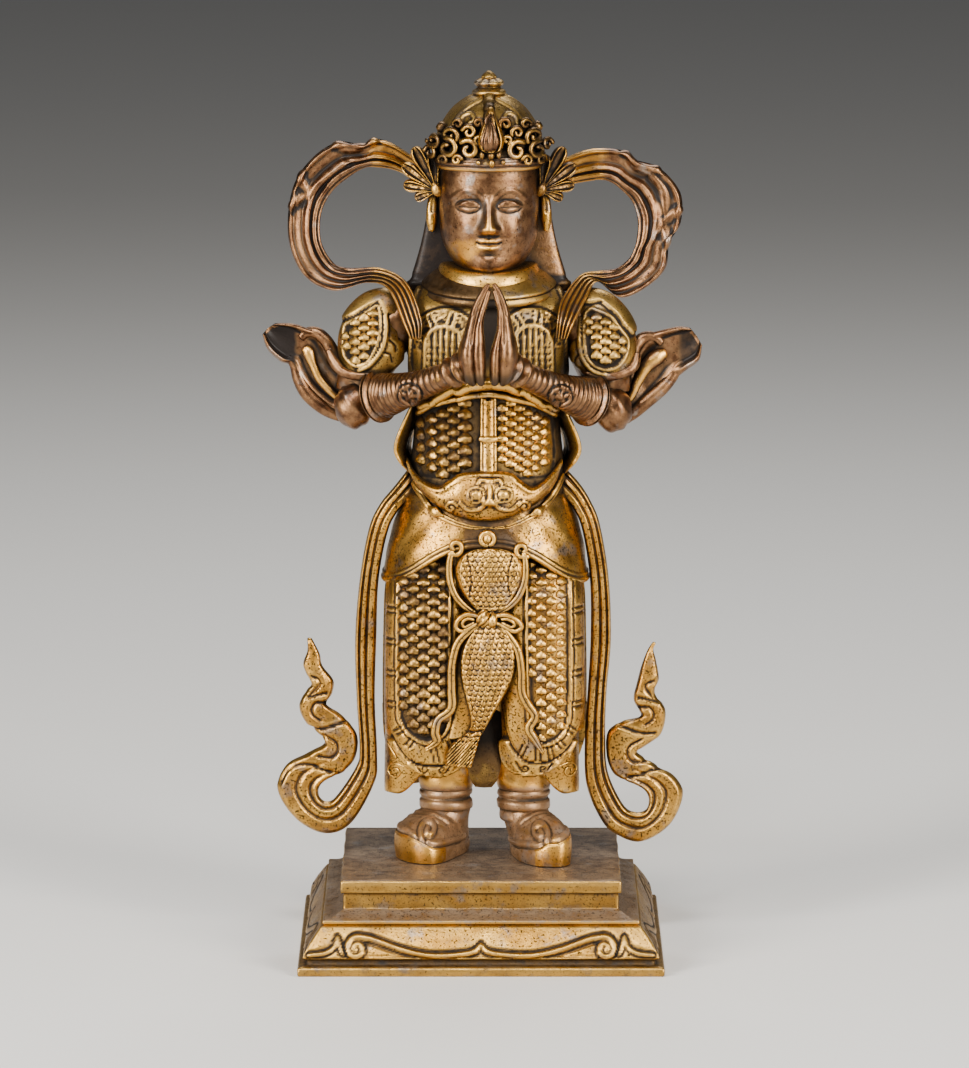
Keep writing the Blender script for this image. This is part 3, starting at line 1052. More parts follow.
def belly_plate():
    top = [
        [-27, 148.4], [-25.4, 145], [-22, 141.8], [-18.4, 140.2], [-14.8, 139.8], [-11, 142.2],
        [-7, 144.6], [2, 145.4], [10.4, 144.8], [14, 142.2], [18.2, 139.4], [22, 140.8], [26, 144],
        [29.4, 148],
    ]
    foot = [
        [-27, 147], [-25, 141], [-21.3, 136.4], [-15, 131.3], [-7.8, 128.4], [0, 127], [7.5, 127.5],
        [15.5, 130.4], [23.6, 135.3], [27.6, 140.6], [29.4, 146.6],
    ]
    top, foot = smooth_line(top, 90), smooth_line(foot, 90)
    def place(u, v):
        x = foot[0, 0] + (foot[-1, 0] - foot[0, 0]) * v
        share = np.clip((x - 1.6) / 29.2, -0.985, 0.985)
        high, low = np.interp(x, top[:, 0], top[:, 1]), np.interp(x, foot[:, 0], foot[:, 1])
        angle = 2 * np.pi * u
        middle, half = (high + low) / 2, np.maximum((high - low) / 2, 0.3)
        level = middle + half * power(np.sin(angle), 0.8)
        y = -2 - 23.4 * (1 - np.abs(share) ** 2.4) ** 0.55
        bulge = 2.2 * (1 - ((level - middle) / half) ** 2)
        return np.stack([x, y - 2.2 * np.cos(angle) - np.where(np.cos(angle) > 0, bulge, 0), level], 1)
    piece = laid("belly_plate", 104, 160, place)
    def both(line):
        line = np.asarray(line, float)
        return [smooth_line(line * (side, 1) + (FRONT_X, 0), 40) for side in (EAST, WEST)]
    ridges = (both([[0, 142.2], [3.4, 142.5], [4.2, 141.4]])
            + both([[1.2, 134.6], [4, 132], [8, 131.8], [10.6, 134.2]]))
    rim_top = top[(top[:, 0] > -27) & (top[:, 0] < 30)] - (0, 1.1)
    whiskers = [spiral(-10.8, 132.4, 2.3, 1.1, 20, 1), spiral(15.8, 132.6, 2.3, 1.1, 160, -1)]
    def relief(x, y, z, ways):
        value = bead(distance_to(ridges, x, z), 0.85, 0.6) + bead(distance_to([rim_top], x, z), 0.8, 0.4)
        value += bead(distance_to(whiskers, x, z), 0.7, 0.6)
        for side in (EAST, WEST):
            eye_x = FRONT_X + side * 5
            r = np.hypot((x - eye_x) / 1.15, z - 137.3)
            value += 1.2 * np.clip(1 - (r / 1.9) ** 2, 0, 1) ** 0.5 + bead(r - 2.6, 0.5, 0.5)
            value += mound(x, z, FRONT_X + side * 1.9, 134.8, 1.2, 1.1, 0.9)
        value += mound(x, z, FRONT_X, 137.4, 1.2, 4, 1.5) + mound(x, z, FRONT_X, 134.8, 1.8, 1.4, 1.2)
        return np.where(ways[:, 1] < 0.1, value, 0)
    done(piece, relief=relief)


def fish_scales(x, z, wide, tall):
    """Rows of small round-ended scales, each row half a scale along from the next and lapped over it."""
    height = np.zeros_like(x)
    for above in (0, 1):
        row = np.floor(z / tall) + above
        across = (x / wide + 0.5 * (row % 2) + 0.5) % 1 - 0.5
        down = (row + 1) - z / tall
        tip = 0.75 + 0.85 * np.sqrt(np.clip(1 - (2 * across) ** 2, 0, 1))
        on = (down > 0) & (down < tip)
        slope = np.clip((tip - down) / 0.45, 0, 1) * (1 - 0.2 * np.clip(tip - down, 0, 1))
        height = np.where(on, slope, height)
    return height


def apron():
    y = -26.4
    disc = []
    for z, half in ((93.6, 3.6), (95.4, 5.8), (98.8, 8.6), (102.4, 10.9), (106, 12.2), (109.7, 12.7),
            (113.2, 11.7), (115.7, 9.4), (117.2, 5.6), (117.8, 1)):
        disc.append([FRONT_X - half, z, FRONT_X + half, z, y - 0.05 * half])
    leaf = [
        [0.4, 91.6, 6.4, 91.6, -27], [-3.4, 87.4, 9.6, 87.4, -27.6], [-6.6, 81.5, 12.2, 81.5, -28],
        [-7.7, 75.5, 12.7, 75.5, -28], [-7.3, 69.4, 11.2, 69, -27.8], [-5.9, 63, 7.6, 62, -27.4],
        [-4.4, 57, 4.2, 56, -27], [-4, 52.4, 1.8, 51.6, -26.6], [-6.4, 48.6, -0.4, 47.6, -26.2],
        [-10.4, 45.8, -1.6, 43.6, -25.8], [-12.6, 41.6, -2.6, 40, -25.2],
        [-13, 37.6, -3.6, 36.6, -24.6],
    ]
    bulged = [[0, 0], [0.07, 0.7], [0.16, 0], [0.5, 1.3], [0.84, 0], [0.93, 0.7], [1, 0]]
    upper = band("apron_upper_leaf", disc, bulged, 3.4, along=74, across=54, back=0)
    def scaled_upper(x, y, z, ways):
        half = np.interp(z, [93.6, 98.8, 102.4, 106, 109.7, 113.2, 115.7, 117.8],
                [3.6, 8.6, 10.9, 12.2, 12.7, 11.7, 9.4, 1])
        within = (ways[:, 1] < 0) & (np.abs(x - FRONT_X) < 0.86 * half) & (z < 116.6)
        bow = 0.02 * (z - 106) ** 2
        creases = cut(np.minimum(np.abs(x + 3.6 + bow), np.abs(x - 9.8 - bow)), 0.5, 0.5)
        return np.where(within, 0.6 * fish_scales(x, z, 2.0, 1.8) + creases, 0)
    done(upper, relief=scaled_upper)
    lower = band("apron_lower_leaf", leaf, bulged, 3.4, along=150, across=50, back=0)
    edge = np.asarray([row[:2] for row in leaf] + [row[2:4] for row in leaf[::-1]])
    rims = [smooth_line(edge[:len(leaf)], 80), smooth_line(edge[len(leaf):], 80)]
    def scaled_lower(x, y, z, ways):
        d = distance_to(rims, x, z)
        body = 0.6 * fish_scales(x + 0.25 * z, z, 2.0, 1.9) * step_up(d, 0.5, 0.9) * step_up(z, 50, 52)
        tassel = 0.26 * np.sin((x - z * 0.9) * 5.2) * (1 - step_up(z, 47, 49))
        bound = cut(z - 46.6, 0.3, 0.35) + cut(z - 48.4, 0.3, 0.35) + cut(z - 50.4, 0.5, 0.6)
        return np.where(ways[:, 1] < 0, body + tassel + bound, 0)
    done(lower, relief=scaled_lower)
    rows = [
        [-2.4, 84, 3, 84, -25.4], [-8.6, 75, 3, 75, -25.6], [-9.6, 64, 3, 64, -25.4],
        [-10.6, 55, 0, 55, -25], [-12.4, 46.6, -3.6, 47.4, -24.6],
    ]
    lining = band("apron_lining", rows, [[0, 0], [0.5, 0.4], [1, 0]], 2.4, along=60, across=14)
    done(lining)
    side_ribbons = {
        "left_apron_ribbon": [
            [-10.2, 117], [-11.4, 112.6], [-11.3, 106.6], [-9.4, 100.7], [-6, 96.5], [-1.9, 93.4],
        ],
        "right_apron_ribbon": [
            [15.4, 116.4], [16.1, 111.4], [15.7, 105.4], [13.6, 100.1], [10.4, 96.5], [6.1, 93.6],
        ],
    }
    for name, line in side_ribbons.items():
        points = [[px, y - 1.2, pz] for px, pz in line]
        wide, thick = [0.9, 1.2, 1.3, 1.3, 1.2, 1.1], [1.2, 1.5, 1.5, 1.5, 1.4, 1.3]
        done(rod(name, points, wide, thick, around=20, relief=two_beads))
    ties = {
        "left_apron_tie": (
            [[0.6, 91], [-3.6, 88], [-8.4, 83], [-10.5, 75], [-10.6, 66], [-10.8, 58.8], [-15.4, 54.6],
             [-16.6, 50], [-16, 46.4], [-20.6, 43]],
            [-28.4, -28.6, -28.8, -28.8, -28.4, -28, -27.4, -27.2, -26.6, -25.4]),
        "right_apron_tie": (
            [[5.4, 90.6], [10, 85.6], [13.4, 79.9], [14.6, 72.2], [14.8, 65], [16.9, 60.3], [19.4, 56],
             [17.4, 51.4], [19.4, 47.4], [22.9, 41.6]],
            [-28.4, -28.6, -28.8, -28.8, -28.4, -28, -27.6, -27.2, -26.8, -25.6]),
    }
    for name, (line, depths) in ties.items():
        points = [[px, depth, pz] for (px, pz), depth in zip(line, depths)]
        wide = [1.2, 1.4, 1.5, 1.5, 1.6, 1.7, 1.6, 1.7, 1.5, 0.7]
        done(rod(name, points, wide, [1.4] * 10, around=20, along=84, relief=two_beads))
    parts = []
    loops = ([[0.2, 92.6], [-4.8, 93.7], [-8.2, 91.8], [-9, 89], [-6.8, 87.4], [-3, 89.2], [0.2, 91]],
             [[4.8, 93], [9.3, 93.4], [13.2, 91.5], [14.6, 89], [12.2, 87.4], [8.7, 88.8], [4.8, 90.8]])
    for loop in loops:
        middle = np.mean(loop, 0)
        for share, radius in ((1, 0.95), (0.5, 0.7)):
            line = middle + share * (np.asarray(loop) - middle)
            depths = -29.2 - 0.5 * np.sin(np.arange(len(line)))
            points = [[px, depth, pz] for (px, pz), depth in zip(line, depths)]
            parts.append(rod("bow", points, [radius] * 7, [1.3 * radius] * 7, around=14, along=60))
    # The knot is one twisted lobe beside one plain lobe
    parts.append(rod("knot", [[-0.1, -29.2, 89.8], [0.8, -30.4, 92.2], [2, -29.2, 94.6]], [1.5, 2.4, 1.5],
                     [1.4, 2.1, 1.4], around=40, along=36,
                     relief=lambda angle, v: 0.3 * np.cos(angle * 6 + v * 9)))
    parts.append(rod("knot_end", [[3.9, -29.2, 89.2], [4.1, -30.2, 91.4], [4.7, -29.2, 93.8]],
            [1.3, 1.9, 1.3], [1.3, 1.9, 1.3], around=24, along=24))
    done(joined("apron_bow", parts))
    curls = []
    for name, (cx, cz, r, start, hand) in (("left", (-9.3, 118, 3, 250, 1)),
            ("right", (14.9, 117, 2.8, 290, -1))):
        line = spiral(cx, cz, r, 1.15, start, hand, tail=2)[::5]
        points = [[px, y - 0.8 - 0.02 * k, pz] for k, (px, pz) in enumerate(line)]
        curls.append(rod(f"{name}_apron_curl", points, [1.1, 1.1, 0.8], [1.6, 1.6, 1.2], along=50))
    done(joined("apron_curls", curls))
    circle = [[2.3 + 2.4 * math.cos(a), y - 0.6, 120.8 + 2.4 * math.sin(a)]
            for a in np.linspace(-1.4, 4.9, 12)]
    knob = rod("belt_knob_ring", circle, [1.1] * 3, [1.5] * 3, along=60)
    knob_core = rod("belt_knob", [[2.3, y + 1.6, 118.2], [2.3, y - 0.6, 120.8], [2.3, y + 1.6, 123.6]],
            [1, 1.7, 1], [1, 1.7, 1], along=16)
    done(joined("belt_knob_with_ring", [knob, knob_core]))


def waist_folds():
    for side, name in SIDES:
        parts = []
        for off, y in ((0, -6), (2.4, -2), (4.6, 3)):
            x = lambda away: BODY_X + side * (away - off * 0.35)
            points = [
                [x(24.4), y + 2, 169], [x(27.6), y, 163], [x(31.4), y, 153], [x(30.8), y, 147.6],
                [x(26), y + 1, 141],
            ]
            parts.append(rod(f"{name}_waist_fold", points, [0.8, 1.1, 1.3, 1.1, 0.8], [3.4, 4.6, 5, 4, 2],
                    face=(side * 0.5, -1, 0), around=18, along=50))
        done(joined(f"{name}_waist_folds", parts))


# Arms, shoulders and hands

def arms():
    for side, name in SIDES:
        points = [
            [2 + side * 25, 0, 203], [2 + side * 38, -2, 192], [1 + side * 44, -3, 178],
            [0.4 + side * 46.2, -4, 170],
        ]
        upper = rod(f"{name}_upper_arm", points, [10, 11.2, 9.6, 7.2], [10, 11, 9.8, 7], around=40,
                    along=60, relief=lambda angle, v: 0.4 * np.sin(angle * 5 + v * 6))
        done(upper, "brown_bronze")
        if side == WEST:
            points = [
                [-39.2, -12.2, 170.2], [-36.8, -14, 171.1], [-31.5, -18.4, 172.8], [-24, -25, 176],
                [-14, -33, 180.6], [-5, -40, 185.6],
            ]
        else:
            points = [
                [41.4, -12.2, 168.9], [39.2, -14, 169.8], [34.4, -18.4, 171.8], [27, -25, 175.4],
                [17.6, -33, 180.4], [9.2, -40, 185.6],
            ]
        def rings(angle, v):
            """Fifteen rings along the sleeve, two rims at the elbow and two at the wrist."""
            count = (v - 0.26) / 0.58 * 15
            ringed = step_up(v, 0.25, 0.28) * (1 - step_up(v, 0.82, 0.85))
            ring = 0.6 * (np.abs(np.sin(np.pi * count)) ** 0.5 - 0.7) * ringed
            rims = 1.3 * peak(v, 0.215, 0.022) + 1.3 * peak(v, 0.145, 0.022) - 0.9 * peak(v, 0.18, 0.012)
            cuffs = 1.5 * peak(v, 0.885, 0.02) + 1.9 * peak(v, 0.96, 0.02) - 0.9 * peak(v, 0.923, 0.012)
            return ring + rims - 0.8 * peak(v, 0.255, 0.012) + cuffs
        girth = [7.2, 8.3, 8.3, 7.5, 6.4, 5.4, 4.8, 4.4, 4]
        forearm = rod(f"{name}_forearm", points, girth, girth, face=(0, -0.3, 1), around=48, along=210,
                relief=rings)
        shield_x, shield_z = (-25.6, 173.6) if side == WEST else (28.6, 173.2)
        def medallion(x, y, z, ways):
            r = np.hypot(x - shield_x, z - shield_z)
            petals = 0.3 * np.cos(6 * np.arctan2(z - shield_z, x - shield_x)) * ((r > 1.6) & (r < 3))
            value = (bead(r - 3.6, 0.6, 0.8) + bead(r, 1.3, 1.0) + np.where(r < 3.9, 0.35 + petals, 0)
                    + cut(r - 4.5, 0.4, 0.5))
            return np.where(ways[:, 1] < 0, value, 0)
        done(forearm, "brown_bronze", relief=medallion,
             gilding=lambda x, y, z: 0.12 + 0.3 * step_up(-np.abs(x - BODY_X), -34, -16))
        centre = (-46.1, -10, 167) if side == WEST else (47.8, -10, 165.6)
        reach = (7.2, 7, 8.4) if side == WEST else (7.1, 7, 8.2)
        clear()
        bpy.ops.mesh.primitive_uv_sphere_add(segments=36, ring_count=24, radius=MM, location=(0, 0, 0))
        knob = bpy.context.object
        knob.name = f"{name}_elbow"
        write(knob, (read(knob) + (0, 0, SOLE_LEVEL)) * reach + centre)
        done(knob, "brown_bronze", relief=lambda x, y, z, ways: 0.25 * np.sin(x * 1.1 + z * 0.8))


def shoulder_guards():
    for side, name in SIDES:
        x = lambda away: 2.2 + side * away
        points = [
            [x(29.6), -1, 203], [x(34), -3.6, 202.4], [x(38.6), -6, 199], [x(41.6), -7.6, 192.6],
            [x(41.6), -8.2, 185.6], [x(40), -8, 180.4], [x(38.6), -7, 177.4],
        ]
        guard = rod(f"{name}_shoulder_guard", points, [3, 6.6, 10, 12, 12.2, 10.6, 5],
                [3.4, 5.4, 6.6, 7.4, 7.4, 6.4, 4], face=(side * 0.1, -1, 0), around=110, along=90)
        if side == WEST:
            field = [
                [-49.6, 196.8], [-49.9, 192.6], [-50, 188], [-49, 184.8], [-45.5, 182.2],
                [-41.2, 183.8], [-37.9, 189.4], [-36.6, 195], [-36.6, 200.2], [-37.4, 203.6],
                [-40.8, 201.8], [-45.2, 199],
            ]
            strip = smooth_line([[-34.5, 200.2], [-34.3, 195], [-35.8, 188.4], [-40.2, 182.6],
                    [-44, 180.6]])
            veins = [
                [[-31.6, 196.4], [-29.8, 194.8], [-29.4, 191.8]],
                [[-32.8, 191.4], [-31, 189.8], [-30.6, 187.4]],
                [[-34.4, 187], [-32.6, 186.2], [-32, 183.6]],
            ]
            cap = [
                [-51.4, 197.2], [-47, 206], [-44, 210.4], [-38, 211.4], [-33, 209.6], [-30, 204],
                [-29.2, 199], [-32.4, 200.4], [-35.6, 200.8], [-37.2, 204.6], [-40.8, 202.8],
                [-45.4, 200],
            ]
        else:
            field = [
                [40.2, 202.8], [46.7, 200], [50.3, 195.4], [53.3, 191.2], [52.5, 185.9], [49.6, 182],
                [45.2, 180.8], [40.9, 182.4], [38.2, 185.9], [37.4, 191.4], [37.2, 197.3], [38, 201.3],
            ]
            strip = smooth_line([[35.6, 199], [35.6, 191.4], [36.7, 185.2], [40.3, 180.4], [45.2, 178.8]])
            veins = [
                [[34.6, 199.4], [32.6, 197.4], [31, 193.4]], [[34.4, 193], [32.4, 191], [31.2, 188]],
                [[35.4, 186.4], [34, 184.6], [33.4, 182]],
            ]
            cap = [
                [38.6, 204], [43.1, 204.8], [48.3, 200.4], [51.6, 195.6], [54.6, 192.6], [57, 195],
                [55, 203], [50, 209], [43, 212], [37, 209], [35.6, 204],
            ]
        rim = smooth_line([*field, field[0]], 90)
        veins = [smooth_line(vein) for vein in veins]
        def relief(x, y, z, ways):
            d = distance_to([rim], x, z)
            within = inside(field, x, z)
            value = bead(distance_to([strip], x, z), 1.0, 0.9) + cut(distance_to(veins, x, z), 0.4, 0.55)
            value += bead(d, 0.7, 0.5) - np.where(within, 0.8 * step_up(d, 0.3, 1), 0)
            d_cap = distance_to([np.asarray([*cap, cap[0]])], x, z)
            value += np.where(inside(cap, x, z), 1.1 * step_up(d_cap, 0, 0.6), 0)
            return np.where(ways[:, 1] < 0.2, value, 0)
        done(guard, "dull_gilding", relief=relief, soot=lambda x, y, z: 0.5 * inside(field, x, z) * (y < 0))
        if side == WEST:
            fold = [
                [-55.6, -8.6, 187.6], [-53, -10, 183], [-49.6, -11.6, 179.6], [-43.4, -13, 178.4],
                [-37, -12.4, 179.4], [-33.4, -9, 181.4],
            ]
        else:
            fold = [
                [56.6, -8.6, 186.6], [55.4, -10, 182], [51.6, -11.6, 179.4], [45.4, -13, 178.2],
                [39, -12.4, 179.2], [35.4, -9, 181.4],
            ]
        under = rod(f"{name}_sleeve_fold", fold, [1.2, 2, 1.9, 1.8, 1.6, 0.8], [1.2, 2, 2, 1.8, 1.6, 0.8],
                around=22, along=64)
        done(under, "brown_bronze")
        mail(f"{name}_shoulder_mail", tree_of(guard), field, 3.2, 3.4, (1.14, 1.0), phase=1.4,
             finish="dull_gilding", dull=0.1)


def hands():
    # Each blade of a hand: x, z and half width from the wrist up to the finger tips
    blades = {
        "left": (
            [[-2.4, 178.6, 0.6], [-3.8, 181.2, 1.9], [-4.9, 185.6, 2.3], [-5.4, 190.2, 2.7],
             [-4.8, 194.6, 2.2], [-3.9, 198.9, 1.7], [-2.3, 204.7, 1.4], [-0.6, 209.1, 1.15],
             [1.6, 213.4, 0.8], [2.9, 215.6, 0.4]],
            [[0.4, 178.6, 0.6], [0.2, 181.2, 1.8], [-0.1, 184.6, 2.2], [-0.5, 190.2, 2.5],
             [-0.4, 194.6, 2.1], [-0.6, 198.9, 1.6], [-0.2, 202.2, 1.1], [0.5, 205.4, 0.95],
             [1.5, 208.4, 0.85], [2.3, 211, 0.8], [3.1, 213.4, 0.5]]),
        "right": (
            [[7.4, 178.6, 0.6], [8.6, 181.2, 2.2], [9.4, 185.6, 3.0], [9.9, 190.2, 3.3],
             [9.7, 194.6, 2.9], [9.3, 198.9, 2.1], [8.6, 204.7, 1.4], [7.4, 209.1, 1.15],
             [5.7, 213.4, 0.8], [4.4, 215.6, 0.4]],
            [[4.6, 178.6, 0.6], [4.6, 181.2, 1.6], [4.6, 184.6, 1.9], [4.8, 190.2, 1.9],
             [5.5, 194.6, 1.3], [6.6, 198.9, 0.95], [6.8, 203.3, 0.85], [6.8, 206.2, 0.8],
             [6.1, 208.8, 0.75], [5.4, 211, 0.7], [4.6, 213.4, 0.5]]),
    }
    for side, (outer, inner) in blades.items():
        lean = WEST if side == "left" else EAST
        outer, inner = np.asarray(outer), np.asarray(inner)
        # The blades are set a little wider than they were drawn, and further apart at their middle
        outer[:, 2] = outer[:, 2] + [0.2, 0.5, 0.6, 0.7, 0.7, 0.5, 0.4, 0.35, 0.3, 0.3]
        outer[:, 0] = outer[:, 0] - lean * np.array([0, 0.3, 0.4, 0.5, 0.5, 0.3, 0.1, 0, 0, 0])
        inner[:, 2] = inner[:, 2] + 0.2
        inner[:, 0] = inner[:, 0] + lean * np.array([0, 0.4, 0.5, 0.5, 0.4, 0.2, 0.1, 0, 0, 0, 0])
        points = [[px, -41 - 0.12 * k, pz] for k, (px, pz, _) in enumerate(outer)]
        thick = [2.6, 4.6, 5.8, 6.2, 5.4, 4.2, 3.3, 2.5, 1.6, 0.8]
        palm = rod(f"{side}_palm", points, outer[:, 2], thick, around=64, along=90)
        seams = [smooth_line([[px + lean * share * half, pz] for px, pz, half in outer[start:]])
                for share, start in ((-0.3, 4), (0.35, 6))]
        shift(palm, lambda x, y, z, ways: cut(distance_to(seams, x, z), 0.34, 0.6) * (ways[:, 1] < 0))
        points = [[px, -43.4 + 0.1 * k, pz] for k, (px, pz, _) in enumerate(inner)]
        thick = [1.8, 2.8, 3.2, 3.2, 2.8, 2.2, 1.8, 1.6, 1.4, 1.1, 0.7]
        thumb_edge = rod(f"{side}_thumb_edge", points, inner[:, 2], thick, around=26, along=56)
        done(joined(f"{side}_hand", [palm, thumb_edge]), "brown_bronze",
             gilding=lambda x, y, z: 0.1 + 0.3 * (1 - step_up(z, 186, 202)) * (x > 3),
             soot=lambda x, y, z: 0.55 * (1 - step_up(z, 180.5, 186)))


# Head, helmet and crown

def head():
    rows = [
        [213.6, 3, 5, 4], [214.4, 7, 11, 8], [216.4, 10.6, 15.4, 10.4], [220.4, 14, 17.4, 13],
        [227, 17, 18, 16], [235.4, 18, 18.1, 18], [244, 18.1, 18.1, 19], [252, 17.8, 18.1, 19],
        [258, 17.2, 17.4, 18.6], [264, 14, 14, 15],
    ]
    piece = stacked("head", centred(rows, HEAD_X, HEAD_Y), around=150, along=140, square=1.1, warp=0.45)
    places, ways = read(piece), normals(piece)
    x, z = np.abs(places[:, 0] - HEAD_X), places[:, 2]
    eyebrow = smooth_line([[2.4, 243.4], [5, 245.6], [9, 246.1], [13.2, 243.2]])
    upper_lid = smooth_line([[3.4, 240.2], [5.4, 242], [8.4, 242.1], [11.6, 240.2]])
    slit = smooth_line([[3.4, 240], [7.4, 240], [11.4, 240.2]])
    mouth = smooth_line([[0, 226.7], [1.6, 227], [3, 226.9], [4.4, 227.4]])
    nose_high = np.interp(z, [229.8, 230.8, 232.2, 236, 241, 245.4], [0, 2.2, 4, 2.9, 1.5, 0])
    nose_wide = np.interp(z, [230, 232.6, 236, 241, 245], [3, 2.7, 1.9, 1.5, 2])
    value = nose_high * np.exp(-(x / nose_wide) ** 2)
    value += (mound(x, z, 2.7, 232.2, 1.3, 1.4, 1.1) - mound(x, z, 4.6, 242, 2.4, 2.6, 0.9)
            - mound(x, z, 7.6, 240.4, 4.4, 3, 1))
    value += 1.5 * np.clip(1 - ((x - 7.5) / 4.3) ** 2 - ((z - 240.5) / 2.2) ** 2, 0, 1) ** 0.5
    value += bead(distance_to([eyebrow], x, z), 0.9, 0.4) + bead(distance_to([upper_lid], x, z), 0.5, 0.35)
    value += cut(distance_to([slit], x, z), 0.3, 0.5) + cut(distance_to([mouth], x, z), 0.38, 0.7)
    value += (mound(x, z, 1.5, 228, 2, 0.85, 1) + mound(x, z, 0, 225.5, 2.8, 1.05, 1.35)
            - mound(x, z, 0, 229.6, 0.7, 1, 0.4))
    value += (mound(x, z, 9.4, 232.4, 5, 5.6, 0.8) + mound(x, z, 0, 219, 4.6, 3, 1.2)
            - mound(x, z, 0, 222.8, 2.8, 0.9, 0.5))
    places[:, 1] -= np.where(ways[:, 1] < 0, value * step_up(-ways[:, 1], 0, 0.35), 0)
    write(piece, places)
    def rubbed(x, y, z):
        cheek = mound(x, z, HEAD_X - 10, 224, 4.6, 3.6, 1.1)
        middle = mound(x, z, HEAD_X - 0.6, 227, 4, 2.4, 0.75) + mound(x, z, HEAD_X, 233, 2.4, 4, 0.5)
        return np.clip(0.3 + cheek + middle, 0, 1)
    done(piece, "brown_bronze", gilding=rubbed)
    rows = centred([[204, 12, 11, 11], [212, 11, 10, 11], [220, 11, 9, 11]], HEAD_X)
    done(stacked("neck", rows, around=48, along=16))
    for side, name in SIDES:
        x = lambda away: HEAD_X + side * away
        points = [
            [x(17.4), 2, 249], [x(19.2), 1, 247], [x(20.4), -0.4, 241], [x(20.8), -1.4, 235],
            [x(20.7), -1.8, 229.6],
        ]
        ear = rod(f"{name}_ear", points, [1, 1.6, 1.6, 1.9, 1.9, 1], [2.6, 3.4, 2.8, 2, 2, 1.2],
                  around=28, along=60, relief=lambda angle, v: -0.5 * peak(angle, np.pi / 2, 0.4) * (v < 0.7))
        done(ear)


def helmet():
    rows = [
        [254.6, 15], [255, 19.4], [257, 20], [262, 19.2], [267, 17.8], [271, 15.7], [274.6, 12.9],
        [277.4, 9.4], [279, 6.4], [279.8, 3],
    ]
    dome = stacked("helmet", round_rows(rows, HEAD_X, HEAD_Y), around=150, along=70, warp=0.3)
    arcs = [
        [[-15.2, 262], [-13, 269], [-8.4, 275], [-2.6, 278.4]],
        [[-10.6, 269.4], [-9.4, 272.6], [-6.6, 273.6], [-5.4, 271.4], [-7.2, 270.4]],
    ]
    lines = [smooth_line(np.asarray(arc) * (side, 1) + (HEAD_X, 0)) for side in (EAST, WEST)
            for arc in arcs]
    def ribs(x, y, z, ways):
        angle = np.degrees(np.arctan2(x - HEAD_X, HEAD_Y - y))
        in_front = bead(distance_to(lines, x, z), 0.7, 0.6) * (y < 0)
        behind = 0.5 * np.abs(np.cos(np.radians(angle) * 6)) ** 6 * (y > 0) * step_up(z, 256, 260)
        return np.where(ways[:, 2] > -0.2, 0.8 * peak(angle, 0, 7) + in_front + behind, 0)
    done(dome, "dull_gilding", relief=ribs)
    rows = [
        [278.4, 4], [279.4, 5.8], [280.6, 6], [281.6, 4.6], [282.2, 3.9], [282.9, 4.7], [283.8, 5.2],
        [284.6, 3.9], [285.2, 2.5], [286.1, 2.6], [287.1, 1.7], [287.9, 0.5],
    ]
    finial = stacked("helmet_finial", round_rows(rows, HEAD_X, HEAD_Y), around=56, along=90)
    def petals(x, y, z, ways):
        return 0.35 * np.abs(np.sin(np.arctan2(y - HEAD_Y, x - HEAD_X) * 4)) * (z > 282.4) * (z < 286)
    shift(finial, petals)
    line = [[HEAD_X, -19.6, 266], [HEAD_X, -17, 271.4], [HEAD_X, -12.6, 276], [HEAD_X, -6.4, 279.6]]
    strap = rod("helmet_strap", line, [1.6, 1.9, 1.9, 1.5], [1.2, 1.4, 1.4, 1.2], face=(0, -1, 1),
                around=20, relief=lambda angle, v: 0.25 * np.abs(np.sin(v * 18)))
    done(joined("helmet_top", [finial, strap]), "dull_gilding",
         gilding=lambda x, y, z: 0.35 + 0.4 * step_up(z, 276, 280))


def on_brow(x, out):
    """The y at x of a round band that lies this far out from the middle of the head."""
    off = np.clip((x - HEAD_X) / out, -0.97, 0.97)
    return HEAD_Y - out * math.sqrt(1 - off ** 2)


